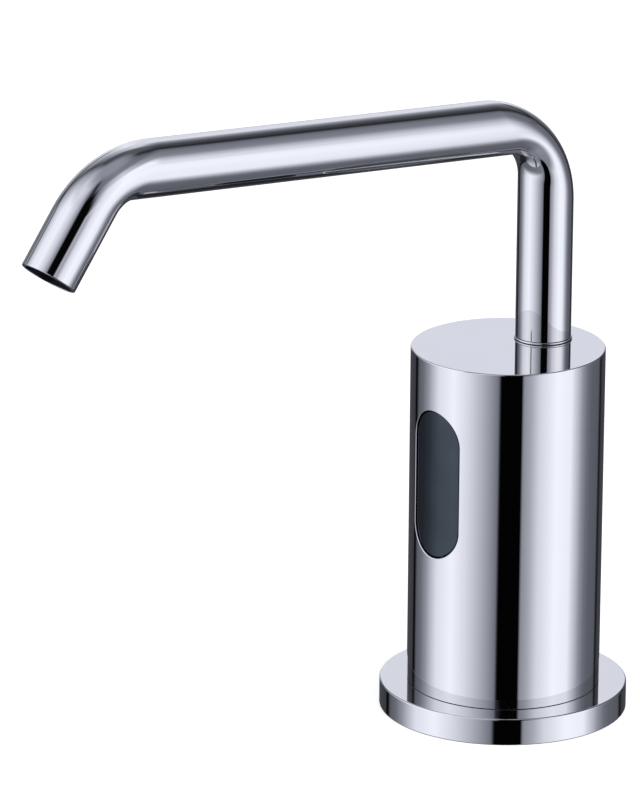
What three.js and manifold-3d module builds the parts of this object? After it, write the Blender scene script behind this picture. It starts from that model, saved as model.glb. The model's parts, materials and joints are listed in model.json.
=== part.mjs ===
// Deck-mounted automatic soap dispenser: a polished cylindrical body with a sensor window,
// a bent spout tube, and the pump, motor, valve and sensor parts that the body holds.
// Millimetres, +Z up. The origin is the centre of the flange's underside. The window and the
// spout's outlet face -Y, and the part is built about the plane X = 0.

import * as THREE from 'three';
import { mergeVertices } from 'three/addons/utils/BufferGeometryUtils.js';
import Module from 'manifold-3d';

const wasm = await Module();
wasm.setup();

// Driving dimensions

// Clearances that all pieces share
const seatGap = 0.25;
const runningGap = 0.12;
const deckLift = 0.2;
const overrun = 1.5;

// Flange and its seal on the deck
const flangeRadius = 32.1;
const flangeHeight = 7.1;
const flangeEdgeRadius = 0.7;
const gasketInset = 3.1;
const gasketWidth = 4;
const gasketHeight = 1.8;

// Body shell with its sensor window
const bodyRadius = 25;
const bodyHeight = 90;
const shellWall = 2;
const shellTopThickness = 3;
const shellEdgeRadius = 0.5;
const windowHalfWidth = 8.4;
const windowHalfHeight = 19.6;
const windowDrop = 32.35;

// Spout tube, bent in the plane X = 0
const spoutOffset = 11.9;
const tubeRadius = 7.2;
const tubeWall = 1;
const firstCornerHeight = 57.3;
const runLength = 143;
const tipLength = 29;
const firstInnerRadius = 7;
const firstOuterRadius = 30.6;
const secondInnerRadius = 5;
const secondOuterRadius = 33;
const runRiseDegrees = 4.55;
const tipTurnDegrees = 57.8;

// Spout seat in the body: ring, stem, seals, washer, nut and stop screw
const swivelLimitDegrees = 30;
const footRingOverhang = 0.3;
const footRingHeight = 0.5;
const stemBore = 3.1;
const stemInsertLength = 13;
const stemBossWall = 2.6;
const stemBossLength = 9;
const stemRingDepth = 1.15;
const stemRingCordRadius = 0.5;
const stemRingPitch = 3.2;
const stemRingInset = 1.9;
const stopScrewRadius = 1;
const stopGrooveDepth = 1.2;
const stopScrewInset = 9.6;
const washerOverhang = 2.3;
const washerThickness = 0.8;
const nutHalfWidth = 7.6;
const nutHeight = 4.5;
const stemTailLength = 1.2;

// Soap line and nozzle
const soapTubeRadius = 2.5;
const soapTubeWall = 0.8;
const nozzleInset = 1.5;
const nozzleLength = 8;
const nozzleOutletRadius = 1.2;
const nozzleDishRadius = 4.3;
const nozzleDishDepth = 1.2;
const nozzleSocketDepth = 4.5;

// Base core, which carries the shell and the works
const coreDiscHeight = 8;
const shankSocketRadius = 14.6;
const hubWallShare = 0.335;
const shankSocketDepth = 6;
const grubScrewRadius = 2;
const grubScrewLength = 5;
const grubKeyRadius = 1;
const grubKeyDepth = 2;
const hoseRadius = 3;
const hoseGap = 0.15;
const hoseSocketDepth = 5.2;
const hoseStopRadius = 1.9;
const colletWall = 1.1;
const colletLip = 0.9;
const colletLipHeight = 0.8;
const colletLength = 3;
const leadRadius = 1;
const glandWall = 0.6;
const glandLip = 0.5;
const glandLipHeight = 0.8;
const glandX = 6.4;
const glandY = 10;

// Chassis that stands on the base core
const chassisFloorThickness = 2;
const postWidth = 4;
const postDepth = 2.9;
const postRise = 1.85;
const crossbarHeight = 2;
const crossbarDepth = 1;
const skirtThickness = 2;
const skirtHeight = 22;
const skirtStartDegrees = -42;
const skirtEndDegrees = -8;
const chassisScrewInset = 3.15;
const chassisScrewDegrees = [58, 122, 270];

// Small screws
const screwRadius = 1;
const screwHeadRadius = 1.9;
const screwHeadHeight = 1.1;
const screwSlotWidth = 0.5;
const chassisScrewGrip = 5;

// Gear pump
const pumpOffset = -1;
const toothCount = 12;
const pitchRadius = 6;
const pressureDegrees = 25;
const toothAddendum = 0.9;
const toothDedendum = 1.25;
const toothBacklash = 0.3;
const gearHeight = 8;
const gearHubGap = 0.08;
const pumpWall = 2.4;
const pumpFloor = 3;
const coverThickness = 3.5;
const portRadius = 2.1;
const portOffset = 4.6;
const spigotWall = 1.6;
const spigotLength = 3;
const spigotRingCordRadius = 0.45;
const lugRadius = 2.9;
const lugOffsetX = 6.2;
const lugOffsetY = 7.7;
const drivenShaftRadius = 1.4;
const shaftPocketDepth = 1.8;
const sealWall = 1.8;
const sealHeight = 1.8;

// Outlet check valve
const valveBore = 3.1;
const valveWall = 1.5;
const valveHeight = 22;
const valveSeatHeight = 6;
const valveSeatRadius = 1.6;
const valveChannelRadius = 1.3;
const valveChannelHeight = 3.8;
const poppetRadius = 2.6;
const poppetHeight = 2.6;
const poppetNoseRadius = 1.1;
const poppetNoseLength = 1.2;
const poppetGuideRadius = 0.9;
const poppetGuideLength = 2.4;
const springMeanRadius = 1.9;
const springWireRadius = 0.28;
const capPlugLength = 4;
const capPlugBore = 0.9;
const capFlangeHeight = 1.5;
const barbRadius = 1.3;
const barbLength = 5;

// Motor
const motorRadius = 10.1;
const motorHalfDepth = 7.6;
const motorHeadroom = 6.41;
const motorShaftRadius = 1.15;
const motorShaftInset = 4;
const endCapHeight = 2.5;
const terminalHeight = 3;
const terminalWidth = 1.8;
const terminalThickness = 0.5;
const terminalSpacing = 8;
const motorScrewOffset = 4.4;
const motorScrewGrip = 3;

// Sensor module
const lensRecess = 0.45;
const lensThickness = 3.6;
const lensFlangeWidth = 1.5;
const lensFlangeThickness = 1.3;
const lensGasketThickness = 0.6;
const housingBackInset = 8.2;
const housingMargin = 1.6;
const wingThickness = 1.3;
const wingHeight = 9;
const boardThickness = 1.6;
const boardMargin = 1.5;
const boardHeightMargin = 1.4;
const boardScrewInset = 1.5;
const boardScrewGrip = 3;
const diodeRadius = 2.5;
const diodeLength = 2.6;
const emitterRise = 7.5;
const receiverDrop = 8.5;
const indicatorRadius = 1.5;
const indicatorLength = 3;
const chipWidth = 7;
const chipHeight = 7;
const chipDepth = 1.4;
const chipDrop = 8;
const plugWidth = 12;
const plugHeight = 6;
const plugDepth = 4.6;
const plugRise = 5.5;
const motorLeadRadius = 0.7;
const leadPitch = 3.6;

// Counts of facets and turns
const largeSides = 48;
const mediumSides = 24;
const smallSides = 12;
const tinySides = 8;
const hiddenSides = 28;
const stemSides = 20;
const ringSides = 16;
const ringCordSides = 4;
const screwSides = 8;
const hexagonSides = 6;
const domeSteps = 4;
const arcSegments = 8;
const edgeSteps = 2;
const tubeSides = 24;
const tubeBoreSides = 14;
const bendSteps = 9;
const hoseBendSteps = 6;
const hoseSides = 8;
const leadSides = 6;
const leadSteps = 10;
const flankSteps = 2;
const springTurns = 5;
const springStepsPerTurn = 8;
const springSides = 4;

// Heights and radii that follow from the driving dimensions
const degree = Math.PI / 180;
const shellInnerRadius = bodyRadius - shellWall;
const bodyTop = flangeHeight + bodyHeight;
const gasketOuterRadius = flangeRadius - gasketInset;
const gasketInnerRadius = gasketOuterRadius - gasketWidth;
const gasketRoom = gasketInnerRadius - seatGap - shankSocketRadius;
const flangeBoreRadius = shankSocketRadius + gasketRoom * hubWallShare;
const coreHubRadius = flangeBoreRadius - seatGap;
const coreDiscRadius = shellInnerRadius - seatGap;
const coreDiscBottom = flangeHeight + seatGap;
const coreTop = coreDiscBottom + coreDiscHeight;
const chassisBottom = coreTop + seatGap;
const chassisFloorTop = chassisBottom + chassisFloorThickness;
const pumpBottom = chassisFloorTop + seatGap;
const windowHeight = bodyHeight - windowDrop;
const windowCentre = flangeHeight + windowHeight;
const stemRadius = tubeRadius - tubeWall - seatGap;
const stemHoleRadius = stemRadius + seatGap;
const stemBossRadius = stemHoleRadius + stemBossWall;
const tubeFoot = footRingHeight + 2 * runningGap;
const chamberRadius = pitchRadius + toothAddendum + runningGap;
const chamberDepth = gearHeight + 2 * runningGap;
const housingHeight = pumpFloor + chamberDepth;
const pumpEndRadius = chamberRadius + pumpWall;
const coverBottom = housingHeight + seatGap;
const coverTop = coverBottom + coverThickness;
const valveOffset = spoutOffset - pumpOffset;
const valveOuterRadius = valveBore + valveWall;
const screwSeat = coverTop - screwHeadHeight - seatGap;
const motorBottom = coverTop + seatGap;
const plugBottom = windowCentre + plugRise - plugHeight / 2;
const motorTop = plugBottom - motorHeadroom;
const motorHeight = motorTop - endCapHeight - seatGap - motorBottom - pumpBottom;
const motorShaftReach = motorHeight - motorShaftInset;
const housingBack = shellInnerRadius - housingBackInset + seatGap;
const lensOuterRadius = bodyRadius - lensRecess;
const lensInnerRadius = lensOuterRadius - lensThickness;
const housingFrontRadius = lensInnerRadius - seatGap;
const housingHalfWidth = windowHalfWidth + housingMargin;
const housingHalfHeight = windowHalfHeight + housingMargin;
const boardHalfWidth = windowHalfWidth + boardMargin;
const boardHalfHeight = housingHalfHeight + boardHeightMargin;
const boardFront = -housingBack + seatGap;
const boardBack = boardFront + boardThickness;

// Finishes: colour, roughness and metalness of each kind of material
const finishes = {
  chrome: { color: 0xd9dae0, roughness: 0.06, metalness: 1 },
  brass: { color: 0xc8a860, roughness: 0.35, metalness: 1 },
  steel: { color: 0xb4b6ba, roughness: 0.32, metalness: 1 },
  motorSteel: { color: 0x9a9ca0, roughness: 0.4, metalness: 1 },
  smokedLens: { color: 0x1f272e, roughness: 0.08, metalness: 0 },
  blackRubber: { color: 0x1c1c1e, roughness: 0.85, metalness: 0 },
  blackPlastic: { color: 0x202124, roughness: 0.55, metalness: 0 },
  greyPlastic: { color: 0x8c9096, roughness: 0.5, metalness: 0 },
  whitePlastic: { color: 0xe8e6df, roughness: 0.45, metalness: 0 },
  clearHose: { color: 0xdfe3e4, roughness: 0.3, metalness: 0 },
  boardGreen: { color: 0x1e5a36, roughness: 0.5, metalness: 0 },
  redDiode: { color: 0x7c1414, roughness: 0.2, metalness: 0 },
  darkDiode: { color: 0x1a1420, roughness: 0.15, metalness: 0 },
  redLead: { color: 0xa51c1c, roughness: 0.5, metalness: 0 },
  blackLead: { color: 0x151515, roughness: 0.5, metalness: 0 },
};

// Closed solids from three.js geometry

// Turns a geometry into a closed solid: shared corners are merged, empty faces dropped,
// and the faces are turned outwards where the volume comes out negative.
function solid(geometry) {
  const bare = geometry.clone();
  bare.deleteAttribute('normal');
  bare.deleteAttribute('uv');
  const merged = mergeVertices(bare);
  const corners = merged.attributes.position;
  const index = merged.index.array;
  const faces = [];
  const [a, b, c] = [new THREE.Vector3(), new THREE.Vector3(), new THREE.Vector3()];
  let volume = 0;
  for (let i = 0; i < index.length; i += 3) {
    const [p, q, r] = [index[i], index[i + 1], index[i + 2]];
    if (p === q || q === r || r === p) continue;
    faces.push([p, q, r]);
    a.fromBufferAttribute(corners, p);
    b.fromBufferAttribute(corners, q);
    c.fromBufferAttribute(corners, r);
    volume += a.dot(b.cross(c));
  }
  const outward = volume < 0 ? faces.map(([p, q, r]) => [p, r, q]) : faces;
  return new wasm.Manifold(new wasm.Mesh({
    numProp: 3,
    vertProperties: new Float32Array(corners.array),
    triVerts: new Uint32Array(outward.flat()),
  }));
}

// Joins the first list of solids and cuts the second list from them.
function joined(adds, cuts = []) {
  const whole = adds.reduce((sum, next) => sum.add(next));
  return cuts.reduce((rest, next) => rest.subtract(next), whole);
}

// A named mesh of a solid, with a material of its own.
function piece(name, finish, body) {
  const mesh = body.getMesh();
  const geometry = new THREE.BufferGeometry();
  geometry.setAttribute('position', new THREE.BufferAttribute(new Float32Array(mesh.vertProperties), 3));
  geometry.setIndex(new THREE.BufferAttribute(new Uint32Array(mesh.triVerts), 1));
  geometry.computeVertexNormals();
  const result = new THREE.Mesh(geometry, new THREE.MeshStandardMaterial(finishes[finish]));
  result.name = name;
  return result;
}

// A group holding pieces, placed as one.
function assembly(x, y, z, pieces) {
  const group = new THREE.Group();
  group.position.set(x, y, z);
  group.add(...pieces);
  return group;
}

// An upright cylinder or cone between two heights.
function cylinder(radius, bottom, top, sides, x = 0, y = 0, topRadius = radius) {
  const geometry = new THREE.CylinderGeometry(topRadius, radius, top - bottom, sides);
  geometry.rotateX(Math.PI / 2);
  geometry.translate(x, y, (bottom + top) / 2);
  return solid(geometry);
}

// A cylinder lying along Y between two places.
function lyingCylinder(radius, from, to, sides, x = 0, z = 0, toRadius = radius) {
  const geometry = new THREE.CylinderGeometry(toRadius, radius, to - from, sides);
  geometry.translate(x, (from + to) / 2, z);
  return solid(geometry);
}

// A box between two corners.
function block(low, high) {
  const geometry = new THREE.BoxGeometry(high[0] - low[0], high[1] - low[1], high[2] - low[2]);
  geometry.translate((low[0] + high[0]) / 2, (low[1] + high[1]) / 2, (low[2] + high[2]) / 2);
  return solid(geometry);
}

// A turned solid about Z from a closed outline of [radius, height] points.
function turned(outline, sides) {
  const points = [...outline, outline[0]].map(([radius, height]) => new THREE.Vector2(radius, height));
  const geometry = new THREE.LatheGeometry(points, sides);
  geometry.rotateX(Math.PI / 2);
  return solid(geometry);
}

// A ring of round section, such as a sealing ring.
function roundRing(meanRadius, cordRadius, height) {
  const geometry = new THREE.TorusGeometry(meanRadius, cordRadius, ringCordSides, ringSides);
  geometry.translate(0, 0, height);
  return solid(geometry);
}

// A ring of square section between two radii and two heights.
function flatRing(innerRadius, outerRadius, bottom, top, sides) {
  const section = [[innerRadius, bottom], [outerRadius, bottom], [outerRadius, top], [innerRadius, top]];
  return turned(section, sides);
}

// An upright prism of an outline, from a height up.
function prism(shape, bottom, top, curveSegments = arcSegments) {
  const depth = top - bottom;
  const geometry = new THREE.ExtrudeGeometry(shape, { depth, bevelEnabled: false, curveSegments });
  geometry.translate(0, 0, bottom);
  return solid(geometry);
}

// A prism of an outline drawn in X and Z, reaching along Y between two places.
function facingPrism(shape, from, to, curveSegments = arcSegments) {
  const depth = to - from;
  const geometry = new THREE.ExtrudeGeometry(shape, { depth, bevelEnabled: false, curveSegments });
  geometry.rotateX(Math.PI / 2);
  geometry.translate(0, to, 0);
  return solid(geometry);
}

// An obround: two half circles joined by straight sides, long along the second axis.
function obround(halfWidth, halfHeight, centreHeight = 0) {
  const straight = halfHeight - halfWidth;
  const shape = new THREE.Shape();
  shape.absarc(0, centreHeight + straight, halfWidth, 0, Math.PI, false);
  shape.absarc(0, centreHeight - straight, halfWidth, Math.PI, 2 * Math.PI, false);
  shape.closePath();
  return shape;
}

// An obround that lies along X between two centres.
function lyingObround(halfSpacing, radius) {
  const shape = new THREE.Shape();
  shape.absarc(halfSpacing, 0, radius, -Math.PI / 2, Math.PI / 2, false);
  shape.absarc(-halfSpacing, 0, radius, Math.PI / 2, -Math.PI / 2, false);
  shape.closePath();
  return shape;
}

// A slotted pan-head screw standing along Z, with its head's underside at a height.
function panScrew(seat, grip) {
  const head = cylinder(screwHeadRadius, seat, seat + screwHeadHeight, screwSides);
  const shank = cylinder(screwRadius, seat - grip, seat + screwHeadHeight / 4, tinySides);
  const slotReach = screwHeadRadius + overrun;
  const slot = block(
    [-slotReach, -screwSlotWidth / 2, seat + screwHeadHeight / 2],
    [slotReach, screwSlotWidth / 2, seat + screwHeadHeight + overrun]);
  return joined([head, shank], [slot]);
}

// The hole of a small screw that stands upright, and of one that lies along Y.
function screwHole(bottom, top, x, y) {
  return cylinder(screwRadius + runningGap, bottom, top, tinySides, x, y);
}

function lyingScrewHole(from, to, x, z) {
  return lyingCylinder(screwRadius + runningGap, from, to, tinySides, x, z);
}

// A route made of straight stretches and bends. Each stretch has its own count of steps, so
// a swept section takes few faces along the straights and many round the bends.
class BentRoute extends THREE.Curve {
  constructor(stretches) {
    super();
    this.stretches = stretches;
    this.steps = stretches.reduce((sum, stretch) => sum + stretch.steps, 0);
  }

  getPoint(t, target = new THREE.Vector3()) {
    let place = THREE.MathUtils.clamp(t, 0, 1) * this.steps;
    const last = this.stretches[this.stretches.length - 1];
    for (const stretch of this.stretches) {
      if (place <= stretch.steps || stretch === last) {
        const [forward, up] = stretch.at(place / stretch.steps);
        return target.set(0, -forward, up);
      }
      place -= stretch.steps;
    }
    return target;
  }

  getUtoTmapping(u) {
    return u;
  }
}

// The helix of a coil spring.
class SpringRoute extends THREE.Curve {
  constructor(radius, bottom, top, turns) {
    super();
    Object.assign(this, { radius, bottom, top, turns });
  }

  getPoint(t, target = new THREE.Vector3()) {
    const angle = 2 * Math.PI * this.turns * t;
    const height = this.bottom + (this.top - this.bottom) * t;
    return target.set(this.radius * Math.cos(angle), this.radius * Math.sin(angle), height);
  }
}

// A regular outline of a circle with a stated number of sides.
function circleShape(radius, sides) {
  const shape = new THREE.Shape();
  for (let i = 0; i < sides; i += 1) {
    const angle = (2 * Math.PI * i) / sides;
    const [x, y] = [radius * Math.cos(angle), radius * Math.sin(angle)];
    if (i === 0) shape.moveTo(x, y);
    else shape.lineTo(x, y);
  }
  shape.closePath();
  return shape;
}

// A round section swept along a route, with a bore where one is given.
function swept(route, steps, radius, sides, boreRadius = 0) {
  const section = circleShape(radius, sides);
  if (boreRadius > 0) section.holes.push(circleShape(boreRadius, sides));
  return solid(new THREE.ExtrudeGeometry(section, { steps, bevelEnabled: false, extrudePath: route }));
}

// A solid whose skin passes through rings of corners and ends in a flat face at both ends.
function ringed(rings) {
  const sides = rings[0].length;
  const last = (rings.length - 1) * sides;
  const faces = [];
  for (let j = 1; j < sides - 1; j += 1) {
    faces.push(0, j + 1, j, last, last + j, last + j + 1);
  }
  for (let low = 0; low < last; low += sides) {
    for (let j = 0; j < sides; j += 1) {
      const next = (j + 1) % sides;
      const [a, b, c, d] = [low + j, low + next, low + sides + next, low + sides + j];
      faces.push(a, b, c, a, c, d);
    }
  }
  const geometry = new THREE.BufferGeometry().setFromPoints(rings.flat());
  geometry.setIndex(faces);
  return solid(geometry);
}

// Spout route

const innerBendRadii = [firstInnerRadius, secondInnerRadius];
const outerBendRadii = [firstOuterRadius, secondOuterRadius];
const middleBendRadii = innerBendRadii.map((radius, i) => (radius + outerBendRadii[i]) / 2);

// Corners and bends of a line along the spout, as [forward, up] from the spout's foot. The
// line runs at an outward offset from the centreline and has its own radii in the two bends.
function spoutStretches(start, inset, steps, offset = 0, radii = middleBendRadii) {
  const upAngle = Math.PI / 2;
  const riseAngle = runRiseDegrees * degree;
  const tipAngle = riseAngle - tipTurnDegrees * degree;
  const firstCorner = [0, firstCornerHeight];
  const secondCorner = moved(firstCorner, riseAngle, runLength, 0);
  const firstTurn = offsetCorner(firstCorner, upAngle, riseAngle, offset);
  const secondTurn = offsetCorner(secondCorner, riseAngle, tipAngle, offset);
  const first = bend(firstTurn, upAngle, riseAngle, radii[0], steps);
  const second = bend(secondTurn, riseAngle, tipAngle, radii[1], steps);
  return [
    straight(moved([0, start], upAngle, 0, offset), first.from),
    first,
    straight(first.to, second.from),
    second,
    straight(second.to, moved(secondCorner, tipAngle, tipLength - inset, offset)),
  ];
}

// A point moved along a direction angle, and outward across it.
function moved([forward, up], angle, along, outward) {
  return [
    forward + along * Math.cos(angle) - outward * Math.sin(angle),
    up + along * Math.sin(angle) + outward * Math.cos(angle),
  ];
}

// The corner of the two lines that run at an outward offset from a corner's own lines.
function offsetCorner(corner, inAngle, outAngle, offset) {
  return moved(corner, inAngle, offset * Math.tan((inAngle - outAngle) / 2), offset);
}

function straight(from, to) {
  const at = (share) => [from[0] + (to[0] - from[0]) * share, from[1] + (to[1] - from[1]) * share];
  return { steps: 1, at, from, to };
}

// A bend to the right round a corner, from one direction angle to a lower one.
function bend(corner, inAngle, outAngle, radius, steps) {
  const turn = inAngle - outAngle;
  const setback = radius * Math.tan(turn / 2);
  const from = [corner[0] - setback * Math.cos(inAngle), corner[1] - setback * Math.sin(inAngle)];
  const to = [corner[0] + setback * Math.cos(outAngle), corner[1] + setback * Math.sin(outAngle)];
  const centre = [from[0] + radius * Math.sin(inAngle), from[1] - radius * Math.cos(inAngle)];
  const at = (share) => {
    const heading = inAngle - turn * share;
    return [centre[0] - radius * Math.sin(heading), centre[1] + radius * Math.cos(heading)];
  };
  return { steps, at, from, to };
}

// Base: flange, gasket, core and the inlets for the hose and the lead

// The outline of a rounded outer edge, from its lower to its upper end.
function roundedEdge(radius, top, edge) {
  return Array.from({ length: edgeSteps + 1 }, (_, i) => {
    const angle = (Math.PI / 2) * (i / edgeSteps);
    return [radius - edge + edge * Math.cos(angle), top - edge + edge * Math.sin(angle)];
  });
}

function makeFlange() {
  const grooveInner = gasketInnerRadius - seatGap;
  const grooveOuter = gasketOuterRadius + seatGap;
  const grooveTop = deckLift + gasketHeight + seatGap;
  return piece('flange', 'chrome', turned([
    [flangeBoreRadius, 0],
    [grooveInner, 0],
    [grooveInner, grooveTop],
    [grooveOuter, grooveTop],
    [grooveOuter, 0],
    [flangeRadius, 0],
    ...roundedEdge(flangeRadius, flangeHeight, flangeEdgeRadius),
    [flangeBoreRadius, flangeHeight],
  ], largeSides));
}

function makeDeckGasket() {
  return piece('deck_gasket', 'blackRubber', flatRing(
    gasketInnerRadius, gasketOuterRadius, deckLift, deckLift + gasketHeight, mediumSides));
}

// Where the soap hose comes in, below the pump's inlet port, and where the screws stand.
const inletY = pumpOffset - portOffset;
const hoseBore = hoseRadius + hoseGap;
const colletOuterRadius = hoseBore + colletWall;
const spigotRadius = portRadius + spigotWall;
const spigotPocketBottom = pumpBottom - spigotLength - 2 * spigotRingCordRadius - runningGap;
const glandBodyRadius = leadRadius + runningGap + glandWall;
const chassisScrewCircle = coreDiscRadius - chassisScrewInset;
const chassisScrewPlaces = chassisScrewDegrees.map((angle) => [
  chassisScrewCircle * Math.cos(angle * degree),
  chassisScrewCircle * Math.sin(angle * degree),
]);

function makeBaseCore() {
  const disc = cylinder(coreDiscRadius, coreDiscBottom, coreTop, hiddenSides);
  const hub = cylinder(coreHubRadius, deckLift, coreDiscBottom + overrun, hiddenSides);
  const socket = cylinder(shankSocketRadius, deckLift - overrun, shankSocketDepth, mediumSides);
  const colletPocket = cylinder(
    colletOuterRadius + seatGap, shankSocketDepth - overrun, shankSocketDepth + colletLength, smallSides,
    0, inletY);
  const hoseSocket = cylinder(
    hoseBore, shankSocketDepth, shankSocketDepth + hoseSocketDepth, smallSides, 0, inletY);
  const passage = cylinder(hoseStopRadius, shankSocketDepth, coreTop + overrun, smallSides, 0, inletY);
  const spigotPocket = cylinder(
    spigotRadius + seatGap, spigotPocketBottom, coreTop + overrun, smallSides, 0, inletY);
  const leadHole = cylinder(
    glandBodyRadius + seatGap, shankSocketDepth - overrun, coreTop + overrun, smallSides, glandX, glandY);
  const grubHole = lyingCylinder(
    grubScrewRadius + seatGap, bodyRadius - grubScrewLength - 2 * seatGap, bodyRadius + overrun, smallSides,
    0, coreDiscBottom + coreDiscHeight / 2);
  const screwHoles = chassisScrewPlaces.map(([x, y]) => screwHole(
    coreTop - chassisScrewGrip, coreTop + overrun, x, y));
  return piece('base_core', 'brass', joined([disc, hub], [
    socket, colletPocket, hoseSocket, passage, spigotPocket, leadHole, grubHole, ...screwHoles,
  ]));
}

// The release collet: a sleeve in the core's pocket with a lip that is pressed to free the hose.
function makeInletCollet() {
  const lipTop = shankSocketDepth - seatGap;
  const lipBottom = lipTop - colletLipHeight;
  const collet = piece('inlet_collet', 'greyPlastic', turned([
    [hoseBore, lipBottom],
    [colletOuterRadius + colletLip, lipBottom],
    [colletOuterRadius + colletLip, lipTop],
    [colletOuterRadius, lipTop],
    [colletOuterRadius, shankSocketDepth + colletLength - seatGap],
    [hoseBore, shankSocketDepth + colletLength - seatGap],
  ], smallSides));
  collet.position.set(0, inletY, 0);
  return collet;
}

// The rubber gland round the lead: a sleeve through the core's roof with a lip under it.
function makeCableGland() {
  const bore = leadRadius + runningGap;
  const lipTop = shankSocketDepth - seatGap;
  const lipBottom = lipTop - glandLipHeight;
  const gland = piece('cable_gland', 'blackRubber', turned([
    [bore, lipBottom],
    [glandBodyRadius + glandLip, lipBottom],
    [glandBodyRadius + glandLip, lipTop],
    [glandBodyRadius, lipTop],
    [glandBodyRadius, coreTop - seatGap],
    [bore, coreTop - seatGap],
  ], smallSides));
  gland.position.set(glandX, glandY, 0);
  return gland;
}

function makeBase() {
  return assembly(0, 0, 0, [
    makeFlange(), makeDeckGasket(), makeBaseCore(), makeInletCollet(), makeCableGland(),
  ]);
}

// Body shell and its grub screw, from the flange's top up

function makeShell() {
  const outside = turned([
    [0, runningGap],
    [bodyRadius, runningGap],
    ...roundedEdge(bodyRadius, bodyHeight, shellEdgeRadius),
    [0, bodyHeight],
  ], largeSides);
  const roof = bodyHeight - shellTopThickness;
  const inside = cylinder(shellInnerRadius, runningGap - overrun, roof, largeSides);
  const boss = cylinder(
    stemBossRadius, roof - stemBossLength, roof + shellTopThickness / 2, mediumSides, 0, spoutOffset);
  const stemHole = cylinder(
    stemHoleRadius, roof - stemBossLength - overrun, bodyHeight + overrun, stemSides, 0, spoutOffset);
  const windowShape = obround(windowHalfWidth, windowHalfHeight, windowHeight);
  const windowCut = facingPrism(windowShape, -bodyRadius - overrun, 0);
  const grubHole = lyingCylinder(
    grubScrewRadius + seatGap, shellInnerRadius - overrun, bodyRadius + overrun, smallSides,
    0, seatGap + coreDiscHeight / 2);
  const stopHole = lyingCylinder(
    stopScrewRadius + seatGap, spoutOffset, spoutOffset + stemBossRadius + overrun, tinySides,
    0, bodyHeight - stopScrewInset);
  const cuts = [stemHole, windowCut, grubHole, stopHole];
  return piece('body_shell', 'chrome', joined([outside.subtract(inside), boss], cuts));
}

// A headless screw with a socket in its outer end, lying along Y.
function makeGrubScrew() {
  const outer = bodyRadius - seatGap;
  const body = lyingCylinder(grubScrewRadius, outer - grubScrewLength, outer, smallSides);
  const key = lyingCylinder(grubKeyRadius, outer - grubKeyDepth, outer + overrun, hexagonSides);
  const screw = piece('shell_grub_screw', 'steel', body.subtract(key));
  screw.position.set(0, 0, seatGap + coreDiscHeight / 2);
  return screw;
}

function makeBody() {
  return assembly(0, 0, flangeHeight, [makeShell(), makeGrubScrew()]);
}

// Chassis and the screws that hold it on the core

function ringSector(innerRadius, outerRadius, fromDegrees, toDegrees) {
  const shape = new THREE.Shape();
  shape.absarc(0, 0, outerRadius, fromDegrees * degree, toDegrees * degree, false);
  shape.absarc(0, 0, innerRadius, toDegrees * degree, fromDegrees * degree, true);
  shape.closePath();
  return shape;
}

// The posts stand just outside the sensor housing's box, behind its wings.
const postInner = housingHalfWidth + seatGap;
const postOuter = postInner + postWidth;
const postMiddle = (postInner + postOuter) / 2;
const postFront = -housingBack + seatGap;
const postBack = postFront + postDepth;
const postTop = windowCentre + boardHalfHeight + postRise;
const wingScrewHeights = [windowCentre - windowHalfHeight / 2, windowCentre + windowHalfHeight / 2];

// Where the four long screws pass the pump, from the pump's own centre.
const lugX = pitchRadius + lugOffsetX;
const lugPlaces = [[lugX, lugOffsetY], [-lugX, lugOffsetY], [-lugX, -lugOffsetY], [lugX, -lugOffsetY]];

function makeChassis() {
  const floor = cylinder(coreDiscRadius, chassisBottom, chassisFloorTop, hiddenSides);
  const posts = [-1, 1].map((side) => {
    const [near, far] = side < 0 ? [-postOuter, -postInner] : [postInner, postOuter];
    return block([near, postFront, chassisFloorTop - chassisFloorThickness / 2], [far, postBack, postTop]);
  });
  const crossbar = block(
    [-postMiddle, postBack - crossbarDepth, postTop - crossbarHeight],
    [postMiddle, postBack, postTop]);
  const skirtInner = coreDiscRadius - skirtThickness;
  const skirtTop = chassisFloorTop + skirtHeight;
  const skirts = [
    ringSector(skirtInner, coreDiscRadius, skirtStartDegrees, skirtEndDegrees),
    ringSector(skirtInner, coreDiscRadius, 180 - skirtEndDegrees, 180 - skirtStartDegrees),
  ].map((shape) => prism(shape, chassisFloorTop - chassisFloorThickness / 2, skirtTop));
  const spigotHole = cylinder(
    spigotRadius + seatGap, chassisBottom - overrun, chassisFloorTop + overrun, smallSides, 0, inletY);
  const leadHole = cylinder(
    leadRadius + seatGap, chassisBottom - overrun, chassisFloorTop + overrun, smallSides, glandX, glandY);
  const floorHoles = [...chassisScrewPlaces, ...lugPlaces.map(([x, y]) => [x, y + pumpOffset])]
    .map(([x, y]) => screwHole(chassisBottom - overrun, chassisFloorTop + overrun, x, y));
  const wingHoles = wingScrewHeights.flatMap((height) => [-1, 1].map((side) => lyingScrewHole(
    postFront - overrun, postBack + overrun, side * postMiddle, height)));
  return piece('chassis', 'greyPlastic', joined([floor, ...posts, crossbar, ...skirts], [
    spigotHole, leadHole, ...floorHoles, ...wingHoles,
  ]));
}

function makeChassisScrews() {
  return chassisScrewPlaces.map(([x, y], i) => {
    const screw = piece(`chassis_screw_${i + 1}`, 'steel', panScrew(seatGap, chassisScrewGrip));
    screw.position.set(x, y, chassisFloorTop);
    return screw;
  });
}

// Gear pump

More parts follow.
